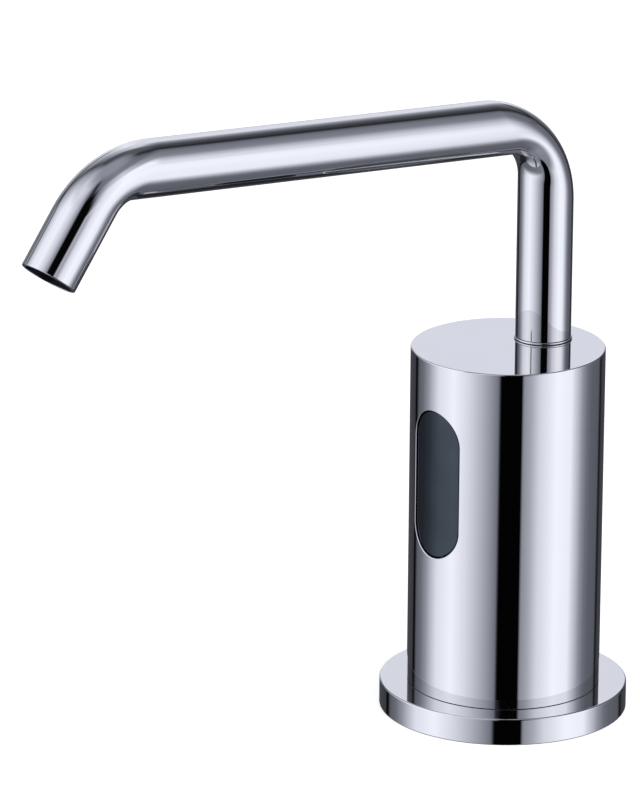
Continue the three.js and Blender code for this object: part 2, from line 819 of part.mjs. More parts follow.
function makePumpHousing() {
  const outline = lyingObround(pitchRadius, pumpEndRadius);
  const body = prism(outline, 0, housingHeight);
  const lugs = lugPlaces.map(([x, y]) => cylinder(lugRadius, 0, housingHeight, screwSides, x, y));
  const tower = cylinder(valveOuterRadius, 0, valveHeight, smallSides, 0, valveOffset);
  const spigot = cylinder(spigotRadius, -spigotLength, overrun, smallSides, 0, -portOffset);
  const open = housingHeight + overrun;
  const chambers = [-pitchRadius, pitchRadius].map((x) => cylinder(
    chamberRadius, pumpFloor, open, mediumSides, x));
  const ports = [
    cylinder(portRadius, -spigotLength - overrun, open, smallSides, 0, -portOffset),
    cylinder(portRadius, pumpFloor, open, smallSides, 0, portOffset),
  ];
  const channelCentre = valveChannelHeight + valveChannelRadius;
  const valveCuts = [
    lyingCylinder(valveChannelRadius, portOffset, valveOffset, tinySides, 0, channelCentre),
    cylinder(valveSeatRadius, valveChannelHeight, valveSeatHeight + overrun, tinySides, 0, valveOffset),
    cylinder(valveBore, valveSeatHeight, valveHeight + overrun, smallSides, 0, valveOffset),
  ];
  const pocketFloor = pumpFloor - shaftPocketDepth;
  const shaftPockets = [
    cylinder(motorShaftRadius + runningGap, pocketFloor, pumpFloor + overrun, smallSides, -pitchRadius),
    cylinder(drivenShaftRadius + runningGap, pocketFloor, pumpFloor + overrun, smallSides, pitchRadius),
  ];
  const screwHoles = lugPlaces.map(([x, y]) => screwHole(-overrun, open, x, y));
  return piece('pump_housing', 'blackPlastic', joined([body, ...lugs, tower, spigot], [
    ...chambers, ...ports, ...valveCuts, ...shaftPockets, ...screwHoles,
  ]));
}

function makePumpCover() {
  const plate = prism(lyingObround(pitchRadius, pumpEndRadius), coverBottom, coverTop);
  const lugs = lugPlaces.map(([x, y]) => cylinder(lugRadius, coverBottom, coverTop, screwSides, x, y));
  const [below, above] = [coverBottom - overrun, coverTop + overrun];
  const towerCut = cylinder(valveOuterRadius + seatGap, below, above, smallSides, 0, valveOffset);
  const shaftHole = cylinder(motorShaftRadius + runningGap, below, above, smallSides, -pitchRadius);
  const sealPocket = cylinder(
    motorShaftRadius + runningGap + sealWall + seatGap, coverTop - sealHeight - seatGap, above,
    smallSides, -pitchRadius);
  const drivenPocket = cylinder(
    drivenShaftRadius + runningGap, below, coverBottom + shaftPocketDepth, smallSides, pitchRadius);
  const headBore = screwHeadRadius + seatGap;
  const screwHoles = lugPlaces.flatMap(([x, y]) => [
    screwHole(below, above, x, y),
    cylinder(headBore, screwSeat, above, screwSides, x, y),
  ]);
  const motorHeadTop = coverBottom + screwHeadHeight + seatGap;
  const motorHoles = [-motorScrewOffset, motorScrewOffset].flatMap((y) => [
    screwHole(below, above, -pitchRadius, y),
    cylinder(headBore, below, motorHeadTop, screwSides, -pitchRadius, y),
  ]);
  return piece('pump_cover', 'blackPlastic', joined([plate, ...lugs], [
    towerCut, shaftHole, sealPocket, drivenPocket, ...screwHoles, ...motorHoles,
  ]));
}

// The involute's polar angle at a pressure angle.
function involute(angle) {
  return Math.tan(angle) - angle;
}

// A spur gear's outline: involute flanks from the base circle to the tip, straight below it.
function gearShape() {
  const pressure = pressureDegrees * degree;
  const baseRadius = pitchRadius * Math.cos(pressure);
  const tipRadius = pitchRadius + toothAddendum;
  const rootRadius = pitchRadius - toothDedendum;
  const halfTooth = Math.PI / (2 * toothCount) - toothBacklash / (4 * pitchRadius);
  const halfAngleAt = (radius) => halfTooth + involute(pressure) - involute(Math.acos(baseRadius / radius));
  const flank = [[rootRadius, halfAngleAt(baseRadius)]];
  for (let i = 0; i <= flankSteps; i += 1) {
    const radius = baseRadius + (tipRadius - baseRadius) * (i / flankSteps);
    flank.push([radius, halfAngleAt(radius)]);
  }
  const shape = new THREE.Shape();
  for (let tooth = 0; tooth < toothCount; tooth += 1) {
    const centre = (2 * Math.PI * tooth) / toothCount;
    const sides = [
      ...flank.map(([radius, half]) => [radius, centre - half]),
      ...flank.toReversed().map(([radius, half]) => [radius, centre + half]),
    ];
    sides.forEach(([radius, angle], i) => {
      const [x, y] = [radius * Math.cos(angle), radius * Math.sin(angle)];
      if (tooth === 0 && i === 0) shape.moveTo(x, y);
      else shape.lineTo(x, y);
    });
  }
  shape.closePath();
  return shape;
}

function makeGear(name, side, shaftRadius) {
  const bottom = pumpFloor + runningGap;
  const top = bottom + gearHeight;
  const blank = prism(gearShape(), bottom, top);
  const bore = cylinder(shaftRadius + gearHubGap, bottom - overrun, top + overrun, smallSides);
  const gear = piece(name, 'whitePlastic', blank.subtract(bore));
  gear.position.set(side * pitchRadius, 0, 0);
  return gear;
}

function makeDrivenShaft() {
  const bottom = pumpFloor - shaftPocketDepth + runningGap;
  const top = coverBottom + shaftPocketDepth - runningGap;
  const shaft = piece('driven_shaft', 'steel', cylinder(drivenShaftRadius, bottom, top, smallSides));
  shaft.position.set(pitchRadius, 0, 0);
  return shaft;
}

function makeShaftSeal() {
  const inner = motorShaftRadius + runningGap;
  const seal = piece('shaft_seal', 'blackRubber',
    flatRing(inner, inner + sealWall, coverTop - sealHeight, coverTop, smallSides));
  seal.position.set(-pitchRadius, 0, 0);
  return seal;
}

// The sealing ring between the pump's inlet spigot and the core's pocket.
function makeInletRing() {
  const outer = spigotRadius + seatGap;
  const height = -spigotLength - spigotRingCordRadius;
  const ring = piece('inlet_seal_ring', 'blackRubber',
    roundRing(outer - spigotRingCordRadius - runningGap, spigotRingCordRadius - runningGap, height));
  ring.position.set(0, -portOffset, 0);
  return ring;
}

function makeCoverScrews() {
  const grip = screwSeat + chassisFloorThickness;
  return lugPlaces.map(([x, y], i) => {
    const screw = piece(`pump_screw_${i + 1}`, 'steel', panScrew(0, grip));
    screw.position.set(x, y, screwSeat + runningGap);
    return screw;
  });
}

function makePump() {
  const drivenGear = makeGear('driven_gear', 1, drivenShaftRadius);
  drivenGear.rotation.z = Math.PI / toothCount;
  return assembly(0, pumpOffset, pumpBottom, [
    makePumpHousing(), makePumpCover(), makeGear('drive_gear', -1, motorShaftRadius), drivenGear,
    makeDrivenShaft(), makeShaftSeal(), makeInletRing(), ...makeCoverScrews(),
  ]);
}

// Outlet check valve in the pump housing's tower

const poppetSeat = valveSeatHeight + runningGap;
const capPlugBottom = valveHeight - capPlugLength;

function makePoppet() {
  const head = cylinder(poppetRadius, poppetSeat, poppetSeat + poppetHeight, smallSides);
  const nose = cylinder(
    poppetNoseRadius / 2, poppetSeat - poppetNoseLength, poppetSeat, tinySides, 0, 0, poppetNoseRadius);
  const guide = cylinder(
    poppetGuideRadius, poppetSeat, poppetSeat + poppetHeight + poppetGuideLength, tinySides);
  return piece('valve_poppet', 'whitePlastic', joined([head, nose, guide]));
}

function makeValveSpring() {
  const bottom = poppetSeat + poppetHeight + springWireRadius + runningGap;
  const top = capPlugBottom - springWireRadius - runningGap;
  const route = new SpringRoute(springMeanRadius, bottom, top, springTurns);
  return piece('valve_spring', 'steel',
    swept(route, springTurns * springStepsPerTurn, springWireRadius, springSides));
}

// The valve's cap: a plug in the tower with a flange on its rim and a barb for the soap tube.
function makeValveCap() {
  const flangeBottom = valveHeight + seatGap;
  const flangeTop = flangeBottom + capFlangeHeight;
  const plug = cylinder(valveBore - seatGap, capPlugBottom, flangeBottom + capFlangeHeight / 2, smallSides);
  const flange = cylinder(valveOuterRadius, flangeBottom, flangeTop, smallSides);
  const barb = cylinder(barbRadius, flangeTop - capFlangeHeight / 2, flangeTop + barbLength, tinySides);
  const bore = cylinder(capPlugBore, capPlugBottom - overrun, flangeTop + barbLength + overrun, tinySides);
  return piece('valve_cap', 'whitePlastic', joined([plug, flange, barb], [bore]));
}

function makeValve() {
  return assembly(0, spoutOffset, pumpBottom, [makePoppet(), makeValveSpring(), makeValveCap()]);
}

// Motor above the pump cover, about its own shaft

// The can's outline: a circle with a flat on each side.
function motorShape(inset) {
  const radius = motorRadius - inset;
  const flat = Math.asin((motorHalfDepth - inset) / radius);
  const shape = new THREE.Shape();
  shape.absarc(0, 0, radius, -flat, flat, false);
  shape.absarc(0, 0, radius, Math.PI - flat, Math.PI + flat, false);
  shape.closePath();
  return shape;
}

const endCapBottom = motorHeight + seatGap;
const endCapTop = endCapBottom + endCapHeight;

function makeMotorCan() {
  const can = prism(motorShape(0), 0, motorHeight);
  const shaftBore = cylinder(
    motorShaftRadius + runningGap, -overrun, motorShaftReach + seatGap, smallSides);
  const screwHoles = [-1, 1].map((side) => screwHole(
    -overrun, motorScrewGrip, 0, side * motorScrewOffset));
  return piece('motor_can', 'motorSteel', joined([can], [shaftBore, ...screwHoles]));
}

function makeEndCap() {
  return piece('motor_end_cap', 'blackPlastic', prism(motorShape(seatGap), endCapBottom, endCapTop));
}

// The motor's shaft reaches down through the seal and the drive gear to its pocket.
function makeMotorShaft() {
  const bottom = pumpFloor - shaftPocketDepth + runningGap - motorBottom;
  return piece('motor_shaft', 'steel', cylinder(motorShaftRadius, bottom, motorShaftReach, smallSides));
}

function makeTerminals() {
  return [-1, 1].map((side, i) => {
    const tab = block(
      [-terminalWidth / 2, -terminalThickness / 2, endCapTop + seatGap],
      [terminalWidth / 2, terminalThickness / 2, endCapTop + seatGap + terminalHeight]);
    const terminal = piece(`motor_terminal_${i + 1}`, 'brass', tab);
    terminal.position.set((side * terminalSpacing) / 2, 0, 0);
    return terminal;
  });
}

// Screws from the pump chamber's side up into the can, heads flush in the cover.
function makeMotorScrews() {
  const seat = motorBottom - coverBottom - screwHeadHeight - seatGap;
  return [-1, 1].map((side, i) => {
    const screw = piece(`motor_screw_${i + 1}`, 'steel', panScrew(0, seat + motorScrewGrip - seatGap));
    screw.rotation.x = Math.PI;
    screw.position.set(0, side * motorScrewOffset, -seat);
    return screw;
  });
}

function makeMotor() {
  return assembly(-pitchRadius, pumpOffset, pumpBottom + motorBottom, [
    makeMotorCan(), makeEndCap(), makeMotorShaft(), ...makeTerminals(), ...makeMotorScrews(),
  ]);
}

// Sensor module behind the window, about the window's centre height

// The part of a prism that lies between two radii of the body.
function betweenRadii(body, innerRadius, outerRadius) {
  const reach = housingHalfHeight + overrun;
  return body
    .intersect(cylinder(outerRadius, -reach, reach, largeSides))
    .subtract(cylinder(innerRadius, -reach - overrun, reach + overrun, largeSides));
}

function makeLens() {
  const front = facingPrism(obround(windowHalfWidth - seatGap, windowHalfHeight - seatGap), -bodyRadius, 0);
  const lip = facingPrism(
    obround(windowHalfWidth + lensFlangeWidth, windowHalfHeight + lensFlangeWidth), -bodyRadius, 0);
  return piece('sensor_lens', 'smokedLens', joined([
    betweenRadii(front, lensInnerRadius, lensOuterRadius),
    betweenRadii(lip, lensInnerRadius, lensInnerRadius + lensFlangeThickness),
  ]));
}

// The thin gasket between the shell's inner wall and the lens's flange.
function makeLensGasket() {
  const outer = shellInnerRadius - runningGap;
  const sheet = facingPrism(
    obround(windowHalfWidth + lensFlangeWidth, windowHalfHeight + lensFlangeWidth), -bodyRadius, 0);
  const opening = facingPrism(obround(windowHalfWidth, windowHalfHeight), -bodyRadius - overrun, overrun);
  return piece('lens_gasket', 'blackRubber',
    betweenRadii(sheet, outer - lensGasketThickness, outer).subtract(opening));
}

const boardScrewReach = windowHalfHeight - boardScrewInset;
const boardScrewHeights = [boardScrewReach, -boardScrewReach];

// The light baffle: a block behind the lens with a tube for each diode and a wing each side.
function makeSensorHousing() {
  const back = -housingBack;
  const box = facingPrism(obround(housingHalfWidth, housingHalfHeight), -bodyRadius, back);
  const front = betweenRadii(box, 0, housingFrontRadius);
  const wings = wingScrewHeights.map((height) => block(
    [-postOuter, back - wingThickness, height - windowCentre - wingHeight / 2],
    [postOuter, back, height - windowCentre + wingHeight / 2]));
  const tubes = [[diodeRadius, emitterRise], [diodeRadius, -receiverDrop], [indicatorRadius, 0]]
    .map(([radius, height]) => lyingCylinder(
      radius + seatGap, -bodyRadius, back + overrun, smallSides, 0, height));
  const boardHoles = boardScrewHeights.map((height) => lyingScrewHole(
    back - boardScrewGrip, back + overrun, 0, height));
  const wingHoles = wingScrewHeights.flatMap((height) => [-1, 1].map((side) => lyingScrewHole(
    back - wingThickness - overrun, back + overrun, side * postMiddle, height - windowCentre)));
  const cuts = [...tubes, ...boardHoles, ...wingHoles];
  return piece('sensor_housing', 'blackPlastic', joined([front, ...wings], cuts));
}

// The circuit board with its controller chip, behind the housing.
function makeBoard() {
  const plate = block(
    [-boardHalfWidth, boardFront, -boardHalfHeight],
    [boardHalfWidth, boardBack, boardHalfHeight]);
  const chip = block(
    [-chipWidth / 2, boardBack - boardThickness / 2, -chipDrop - chipHeight / 2],
    [chipWidth / 2, boardBack + chipDepth, -chipDrop + chipHeight / 2]);
  const holes = boardScrewHeights.map((height) => lyingScrewHole(
    boardFront - overrun, boardBack + overrun, 0, height));
  return piece('circuit_board', 'boardGreen', joined([plate, chip], holes));
}

// A domed diode that stands forward from the board.
function makeDiode(name, finish, radius, length, height) {
  const root = boardFront - seatGap;
  const stem = lyingCylinder(radius, root - length, root, screwSides);
  const dome = new THREE.SphereGeometry(radius, screwSides, domeSteps);
  dome.translate(0, root - length, 0);
  const diode = piece(name, finish, joined([stem, solid(dome)]));
  diode.position.set(0, 0, height);
  return diode;
}

function makeBoardScrews() {
  return boardScrewHeights.map((height, i) => {
    const name = ['board_screw_upper', 'board_screw_lower'][i];
    const screw = piece(name, 'steel', panScrew(0, boardThickness + boardScrewGrip));
    screw.rotation.x = -Math.PI / 2;
    screw.position.set(0, boardBack + seatGap, height);
    return screw;
  });
}

// Screws through the housing's lower wings into the chassis posts, driven from the front.
function makeWingScrews() {
  return [-1, 1].map((side, i) => {
    const name = ['housing_screw_left', 'housing_screw_right'][i];
    const screw = piece(name, 'steel', panScrew(0, wingThickness + postDepth));
    screw.rotation.x = Math.PI / 2;
    screw.position.set(
      side * postMiddle, -housingBack - wingThickness - seatGap, wingScrewHeights[0] - windowCentre);
    return screw;
  });
}

const plugBack = boardBack + seatGap + plugDepth;

function makePlug() {
  return piece('wiring_plug', 'whitePlastic', block(
    [-plugWidth / 2, boardBack + seatGap, plugRise - plugHeight / 2],
    [plugWidth / 2, plugBack, plugRise + plugHeight / 2]));
}

function makeSensor() {
  return assembly(0, 0, windowCentre, [
    makeLens(), makeLensGasket(), makeSensorHousing(), makeBoard(),
    makeDiode('ir_emitter', 'darkDiode', diodeRadius, diodeLength, emitterRise),
    makeDiode('ir_receiver', 'darkDiode', diodeRadius, diodeLength, -receiverDrop),
    makeDiode('indicator_led', 'redDiode', indicatorRadius, indicatorLength, 0),
    ...makeBoardScrews(), ...makeWingScrews(), makePlug(),
  ]);
}

// Leads inside the body

// A lead through hand-set points.
function makeLead(name, finish, radius, points) {
  const places = points.map((point) => new THREE.Vector3(...point));
  const route = new THREE.CatmullRomCurve3(places, false, 'centripetal');
  return piece(name, finish, swept(route, leadSteps, radius, leadSides));
}

function makeLeads() {
  const plugHeightAt = windowCentre + plugRise;
  const leadEnd = plugBack + seatGap;
  const tabTop = motorTop + 2 * seatGap + terminalHeight;
  const power = [
    [glandX, glandY, shankSocketDepth + seatGap],
    [glandX, glandY, coreTop],
    [glandX, glandY, pumpBottom + valveHeight],
    [glandX, glandY, motorTop],
    [glandX, glandY - postDepth, plugHeightAt - plugHeight / 2],
    [(glandX + leadPitch) / 2, (glandY + leadEnd) / 2, plugHeightAt],
    [leadPitch, leadEnd + postDepth, plugHeightAt],
    [leadPitch, leadEnd, plugHeightAt],
  ];
  const motorLeads = [-1, 1].map((side, i) => {
    const tabX = -pitchRadius + (side * terminalSpacing) / 2;
    const plugX = (side - 1) * (leadPitch / 2);
    return makeLead(`motor_lead_${i + 1}`, ['redLead', 'blackLead'][i], motorLeadRadius, [
      [tabX, pumpOffset, tabTop],
      [tabX, pumpOffset, tabTop + terminalHeight / 2],
      [(tabX + plugX) / 2, (pumpOffset + leadEnd) / 2, plugHeightAt],
      [plugX, leadEnd + leadRadius, plugHeightAt],
      [plugX, leadEnd, plugHeightAt],
    ]);
  });
  return assembly(0, 0, 0, [makeLead('power_lead', 'blackLead', leadRadius, power), ...motorLeads]);
}

// Spout: everything that turns with it, about its own upright axis at the body's top

const stemBossBottom = -shellTopThickness - stemBossLength;
const washerBottom = stemBossBottom - seatGap - washerThickness;
const nutTop = washerBottom - seatGap;
const nutBottom = nutTop - nutHeight;
const stemBottom = nutBottom - stemTailLength;
const stemRingHeights = [-stemRingInset, -stemRingInset - stemRingPitch];
const stemRingHalfWidth = stemRingCordRadius + seatGap;

// The spout's outside, or its bore at a share of the outside's section. Each ring reaches from
// the inner to the outer side of the tube, whose bends have radii of their own.
function bentTube(start, inset, share, sides) {
  const outer = new BentRoute(spoutStretches(start, inset, bendSteps, tubeRadius, outerBendRadii));
  const inner = new BentRoute(spoutStretches(start, inset, bendSteps, -tubeRadius, innerBendRadii));
  return ringed(Array.from({ length: outer.steps + 1 }, (_, i) => {
    const [high, low] = [outer.getPoint(i / outer.steps), inner.getPoint(i / inner.steps)];
    const middle = high.clone().add(low).divideScalar(2);
    const reach = high.clone().sub(low).multiplyScalar(share / 2);
    const side = new THREE.Vector3(share * tubeRadius, 0, 0);
    return Array.from({ length: sides }, (__, j) => {
      const angle = (2 * Math.PI * j) / sides;
      return middle.clone().addScaledVector(reach, Math.cos(angle)).addScaledVector(side, Math.sin(angle));
    });
  }));
}

function makeSpoutTube() {
  const bore = bentTube(tubeFoot - overrun, -overrun, 1 - tubeWall / tubeRadius, tubeBoreSides);
  return piece('spout_tube', 'chrome', bentTube(tubeFoot, 0, 1, tubeSides).subtract(bore));
}

function makeFootRing() {
  return piece('foot_ring', 'chrome', flatRing(
    stemHoleRadius, tubeRadius + footRingOverhang, runningGap, runningGap + footRingHeight,
    mediumSides));
}

// The stem: its top is fixed in the tube, its middle carries two sealing rings and the
// swivel's stop groove, and its tail takes the nut.
function makeStem() {
  const grooveRadius = stemRadius - stemRingDepth;
  const grooves = stemRingHeights.flatMap((height) => [
    [stemRadius, height + stemRingHalfWidth],
    [grooveRadius, height + stemRingHalfWidth],
    [grooveRadius, height - stemRingHalfWidth],
    [stemRadius, height - stemRingHalfWidth],
  ]);
  const body = turned([
    [stemBore, stemInsertLength],
    [stemRadius - runningGap, stemInsertLength],
    [stemRadius - runningGap, tubeFoot],
    [stemRadius, tubeFoot],
    ...grooves,
    [stemRadius, stemBottom],
    [stemBore, stemBottom],
  ], stemSides);
  const halfSweep = swivelLimitDegrees + Math.asin((stopScrewRadius + seatGap) / stemRadius) / degree;
  const stopGroove = prism(
    ringSector(stemRadius - stopGrooveDepth, stemRadius + overrun, 90 - halfSweep, 90 + halfSweep),
    -stopScrewInset - stopScrewRadius - seatGap, -stopScrewInset + stopScrewRadius + seatGap);
  return piece('spout_stem', 'brass', body.subtract(stopGroove));
}

function makeStemRings() {
  const meanRadius = stemHoleRadius - stemRingCordRadius - runningGap;
  return stemRingHeights.map((height, i) => piece(
    `stem_seal_ring_${i + 1}`, 'blackRubber', roundRing(meanRadius, stemRingCordRadius, height)));
}

// The stop screw is threaded in the shell's boss, and its point stands in the stem's groove.
function makeStopScrew() {
  const tip = stemRadius - stopGrooveDepth + runningGap + seatGap;
  return piece('swivel_stop_screw', 'steel',
    lyingCylinder(stopScrewRadius, tip, stemBossRadius, tinySides, 0, -stopScrewInset));
}

function makeThrustWasher() {
  const outer = stemHoleRadius + washerOverhang;
  return piece('thrust_washer', 'steel',
    flatRing(stemHoleRadius, outer, washerBottom, washerBottom + washerThickness, mediumSides));
}

function makeStemNut() {
  const cornerRadius = nutHalfWidth / Math.cos(Math.PI / hexagonSides);
  const blank = prism(circleShape(cornerRadius, hexagonSides), nutBottom, nutTop);
  const bore = cylinder(stemHoleRadius, nutBottom - overrun, nutTop + overrun, stemSides);
  return piece('stem_nut', 'brass', blank.subtract(bore));
}

// The soap tube runs from the valve's barb up through the stem and along the spout.
function makeSoapTube() {
  const capTop = pumpBottom + valveHeight + seatGap + capFlangeHeight;
  const start = capTop + seatGap - bodyTop;
  const inset = nozzleInset + nozzleLength - nozzleSocketDepth + seatGap;
  const route = new BentRoute(spoutStretches(start, inset, hoseBendSteps));
  return piece('soap_tube', 'clearHose',
    swept(route, route.steps, soapTubeRadius, hoseSides, soapTubeRadius - soapTubeWall));
}

// The nozzle closes the tube's end: a dished face with the outlet, and a socket for the soap tube.
function makeNozzle() {
  const nozzleRadius = tubeRadius - tubeWall - seatGap;
  const inner = nozzleInset + nozzleLength;
  const body = cylinder(nozzleRadius, nozzleInset, inner, smallSides);
  const dish = cylinder(
    nozzleDishRadius, nozzleInset - seatGap, nozzleInset + nozzleDishDepth, smallSides,
    0, 0, nozzleOutletRadius);
  const outlet = cylinder(nozzleOutletRadius, nozzleInset - overrun, inner + overrun, tinySides);
  const socket = cylinder(soapTubeRadius + seatGap, inner - nozzleSocketDepth, inner + overrun, smallSides);
  const nozzle = piece('nozzle', 'blackPlastic', joined([body], [dish, outlet, socket]));
  const stretches = spoutStretches(tubeFoot, 0, bendSteps);
  const [forward, up] = stretches[stretches.length - 1].to;
  nozzle.position.set(0, -forward, up);
  nozzle.rotation.x = -Math.PI / 2 + (tipTurnDegrees - runRiseDegrees) * degree;
  return nozzle;
}

function makeSpout() {
  return assembly(0, spoutOffset, bodyTop, [
    makeSpoutTube(), makeFootRing(), makeStem(), ...makeStemRings(), makeStopScrew(),
    makeThrustWasher(), makeStemNut(), makeSoapTube(), makeNozzle(),
  ]);
}

const dispenser = new THREE.Group();
dispenser.add(
  makeBase(), makeBody(), assembly(0, 0, 0, [makeChassis(), ...makeChassisScrews()]),
  makePump(), makeValve(), makeMotor(), makeSensor(), makeLeads(), makeSpout());

export default dispenser;
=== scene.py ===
"""Looks of the deck-mounted automatic soap dispenser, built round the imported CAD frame.

Metres, +Z up. The window and the spout's outlet face -Y. The pieces that show and the valve's
spring are rebuilt here with fine skins. The other pieces keep their CAD solids and get materials.
"""
import json
import math
from functools import cached_property

import bpy
from mathutils import Matrix, Vector


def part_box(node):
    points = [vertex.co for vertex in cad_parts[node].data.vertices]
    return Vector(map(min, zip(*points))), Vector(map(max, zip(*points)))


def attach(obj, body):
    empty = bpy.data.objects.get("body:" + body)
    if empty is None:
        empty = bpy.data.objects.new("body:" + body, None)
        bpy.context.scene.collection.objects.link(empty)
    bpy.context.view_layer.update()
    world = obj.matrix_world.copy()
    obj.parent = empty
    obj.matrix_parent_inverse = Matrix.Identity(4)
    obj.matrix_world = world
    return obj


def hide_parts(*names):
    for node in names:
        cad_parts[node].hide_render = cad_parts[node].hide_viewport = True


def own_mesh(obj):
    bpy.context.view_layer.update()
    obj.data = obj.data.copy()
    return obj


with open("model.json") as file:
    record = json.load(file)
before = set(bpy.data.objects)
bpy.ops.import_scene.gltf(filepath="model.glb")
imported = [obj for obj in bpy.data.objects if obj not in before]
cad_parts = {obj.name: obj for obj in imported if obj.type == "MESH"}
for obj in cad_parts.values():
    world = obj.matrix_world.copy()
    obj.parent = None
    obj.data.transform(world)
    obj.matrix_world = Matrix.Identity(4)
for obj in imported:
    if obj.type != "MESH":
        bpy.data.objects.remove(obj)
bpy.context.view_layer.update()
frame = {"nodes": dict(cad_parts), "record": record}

MM = 0.001
MICRON = 0.001 * MM
UP = Vector((0, 0, 1))
WHITE = (1, 1, 1, 1)


def node_box(name):
    """The lowest and highest corner of a CAD node."""
    low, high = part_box(name)
    return Vector(low), Vector(high)


# Sizes that the frame gives

_, FLANGE_HIGH = node_box("flange")
SHELL_LOW, SHELL_HIGH = node_box("body_shell")
RING_LOW, RING_HIGH = node_box("foot_ring")
TUBE_LOW, TUBE_HIGH = node_box("spout_tube")
GASKET_LOW, GASKET_HIGH = node_box("deck_gasket")
GRUB_LOW, GRUB_HIGH = node_box("shell_grub_screw")
FLANGE_RADIUS = FLANGE_HIGH.x
FLANGE_TOP = FLANGE_HIGH.z
BODY_RADIUS = SHELL_HIGH.x
BODY_TOP = SHELL_HIGH.z
TUBE_RADIUS = TUBE_HIGH.x
SPOUT_Y = (RING_LOW.y + RING_HIGH.y) / 2
SPOUT_AXIS = (0, SPOUT_Y, 0)
SPOUT_FOOT = Vector((0, SPOUT_Y, BODY_TOP))

# Sizes of the flange and its gasket

FLANGE_BORE = 18.0 * MM
FLANGE_EDGE = 0.45 * MM
FLANGE_TOE = 0.3 * MM
GROOVE_INNER = 24.75 * MM
GROOVE_OUTER = 29.25 * MM
GROOVE_DEPTH = 2.25 * MM
GASKET_GAP = 0.25 * MM
GASKET_EDGE = 0.4 * MM

# Sizes of the shell and its grub screw

SHELL_WALL = 2.0 * MM
SHELL_ROOF = 3.0 * MM
SHELL_EDGE = 0.4 * MM
SHELL_TOE = 0.05 * MM
STEM_HOLE = 6.2 * MM
BOSS_RADIUS = 8.7 * MM
BOSS_LENGTH = 9.0 * MM
GRUB_HOLE = 2.25 * MM
GRUB_PLACE = (0, 0, 11.35 * MM)
GRUB_RADIUS = 2.0 * MM
GRUB_CHAMFER = 0.35 * MM
KEY_RADIUS = 1.15 * MM
KEY_DEPTH = 2.0 * MM
KEY_SIDES = 6

# Sizes of the window and its lens

WINDOW_HALF_WIDTH = 8.4 * MM
WINDOW_HALF_HEIGHT = 19.6 * MM
WINDOW_STRAIGHT = WINDOW_HALF_HEIGHT - WINDOW_HALF_WIDTH
WINDOW_CENTRE = 64.75 * MM
WINDOW_EDGE = 0.25 * MM
LENS_RECESS = 0.45 * MM
LENS_THICKNESS = 3.6 * MM
LENS_LIP = 1.5 * MM
LENS_LIP_THICKNESS = 1.3 * MM
LENS_LIP_EDGE = 0.2 * MM
LENS_GAP = 0.25 * MM
LENS_EDGE = 0.35 * MM

# Sizes of the spout: its corners are where the straights would meet

TUBE_WALL = 1.0 * MM
TIP_EDGE = 0.3 * MM
BORE_EDGE = 0.08 * MM
FIRST_CORNER = 57.3 * MM
RUN_LENGTH = 143.0 * MM
TIP_LENGTH = 29.0 * MM
INNER_BENDS = (7.0 * MM, 5.0 * MM)
OUTER_BENDS = (30.6 * MM, 33.0 * MM)
RISE = math.radians(4.55)
TIP_TURN = math.radians(57.8)
NOZZLE_INSET = 1.5 * MM
NOZZLE_LENGTH = 8.0 * MM
NOZZLE_RADIUS = 5.95 * MM
NOZZLE_EDGE = 0.3 * MM
NOZZLE_OUTLET = 1.2 * MM
NOZZLE_OUTLET_EDGE = 0.2 * MM
NOZZLE_DISH = 4.3 * MM
NOZZLE_DISH_DEPTH = 1.2 * MM
NOZZLE_SOCKET = 2.75 * MM
NOZZLE_SOCKET_DEPTH = 4.5 * MM

# Edge radii of the foot ring, as shares of its height

RING_FOOT_SHARE = 0.4
RING_TOP_SHARE = 0.5

# Wire of the spring, and how far a cutter reaches past what it cuts

SPRING_WIRE_RADIUS = 0.28 * MM
OVERRUN = 2.0 * MM

# Counts of facets

ROUND_STEPS = 192
TUBE_STEPS = 96
SMALL_STEPS = 48
WINDOW_STEPS = 96
WINDOW_CUTS = 8
LENS_CUTS = 14
BEND_STEPS = 40
STRAIGHT_STEPS = 4
EDGE_STEPS = 6
SPRING_TURNS = 5
SPRING_TURN_STEPS = 24
WIRE_STEPS = 10

# Tolerances

TINY = 1e-9
AXIS_SLACK = 0.001 * MM
FACE_SLACK = 0.005 * MM
POINT_DIGITS = 8
LENGTH_DIGITS = 9
SHARP_ANGLE = math.radians(32)
EDGE_FACING = 0.99

# Turns that lay the axis of a turned piece along +Z or +Y

ALONG_Z = Matrix.Identity(3)
ALONG_Y = Matrix.Rotation(-math.pi / 2, 3, "X")


def spoke_at(angle):
    """The level direction at an angle from +X."""
    return Vector((math.cos(angle), math.sin(angle), 0))


def direction(azimuth, elevation):
    """The direction from the body to a place round it. Azimuth 0 is -Y, and a quarter turn is +X."""
    level = math.cos(elevation)
    return Vector((math.sin(azimuth) * level, -math.cos(azimuth) * level, math.sin(elevation)))


# Outlines: strokes of points (a, b) with normals (na, nb), from corners with a radius each

def corner_arc(before, here, after, radius):
    """The start, the end and the arc of an edge that rounds a corner."""
    inward = (before - here).normalized()
    onward = (after - here).normalized()
    half = inward.angle(onward) / 2
    setback = radius / math.tan(half)
    start, end = here + inward * setback, here + onward * setback
    centre = here + (inward + onward).normalized() * (radius / math.sin(half))
    convex = inward.x * onward.y - inward.y * onward.x < 0
    sign = 1 if convex else -1
    first = (start - centre).normalized()
    turn = (math.pi - 2 * half) * sign
    arc = []
    for step in range(EDGE_STEPS + 1):
        angle = turn * step / EDGE_STEPS
        spoke = Vector((
            first.x * math.cos(angle) - first.y * math.sin(angle),
            first.x * math.sin(angle) + first.y * math.cos(angle)))
        arc.append((*(centre + spoke * radius), *(spoke * sign)))
    return start, end, arc


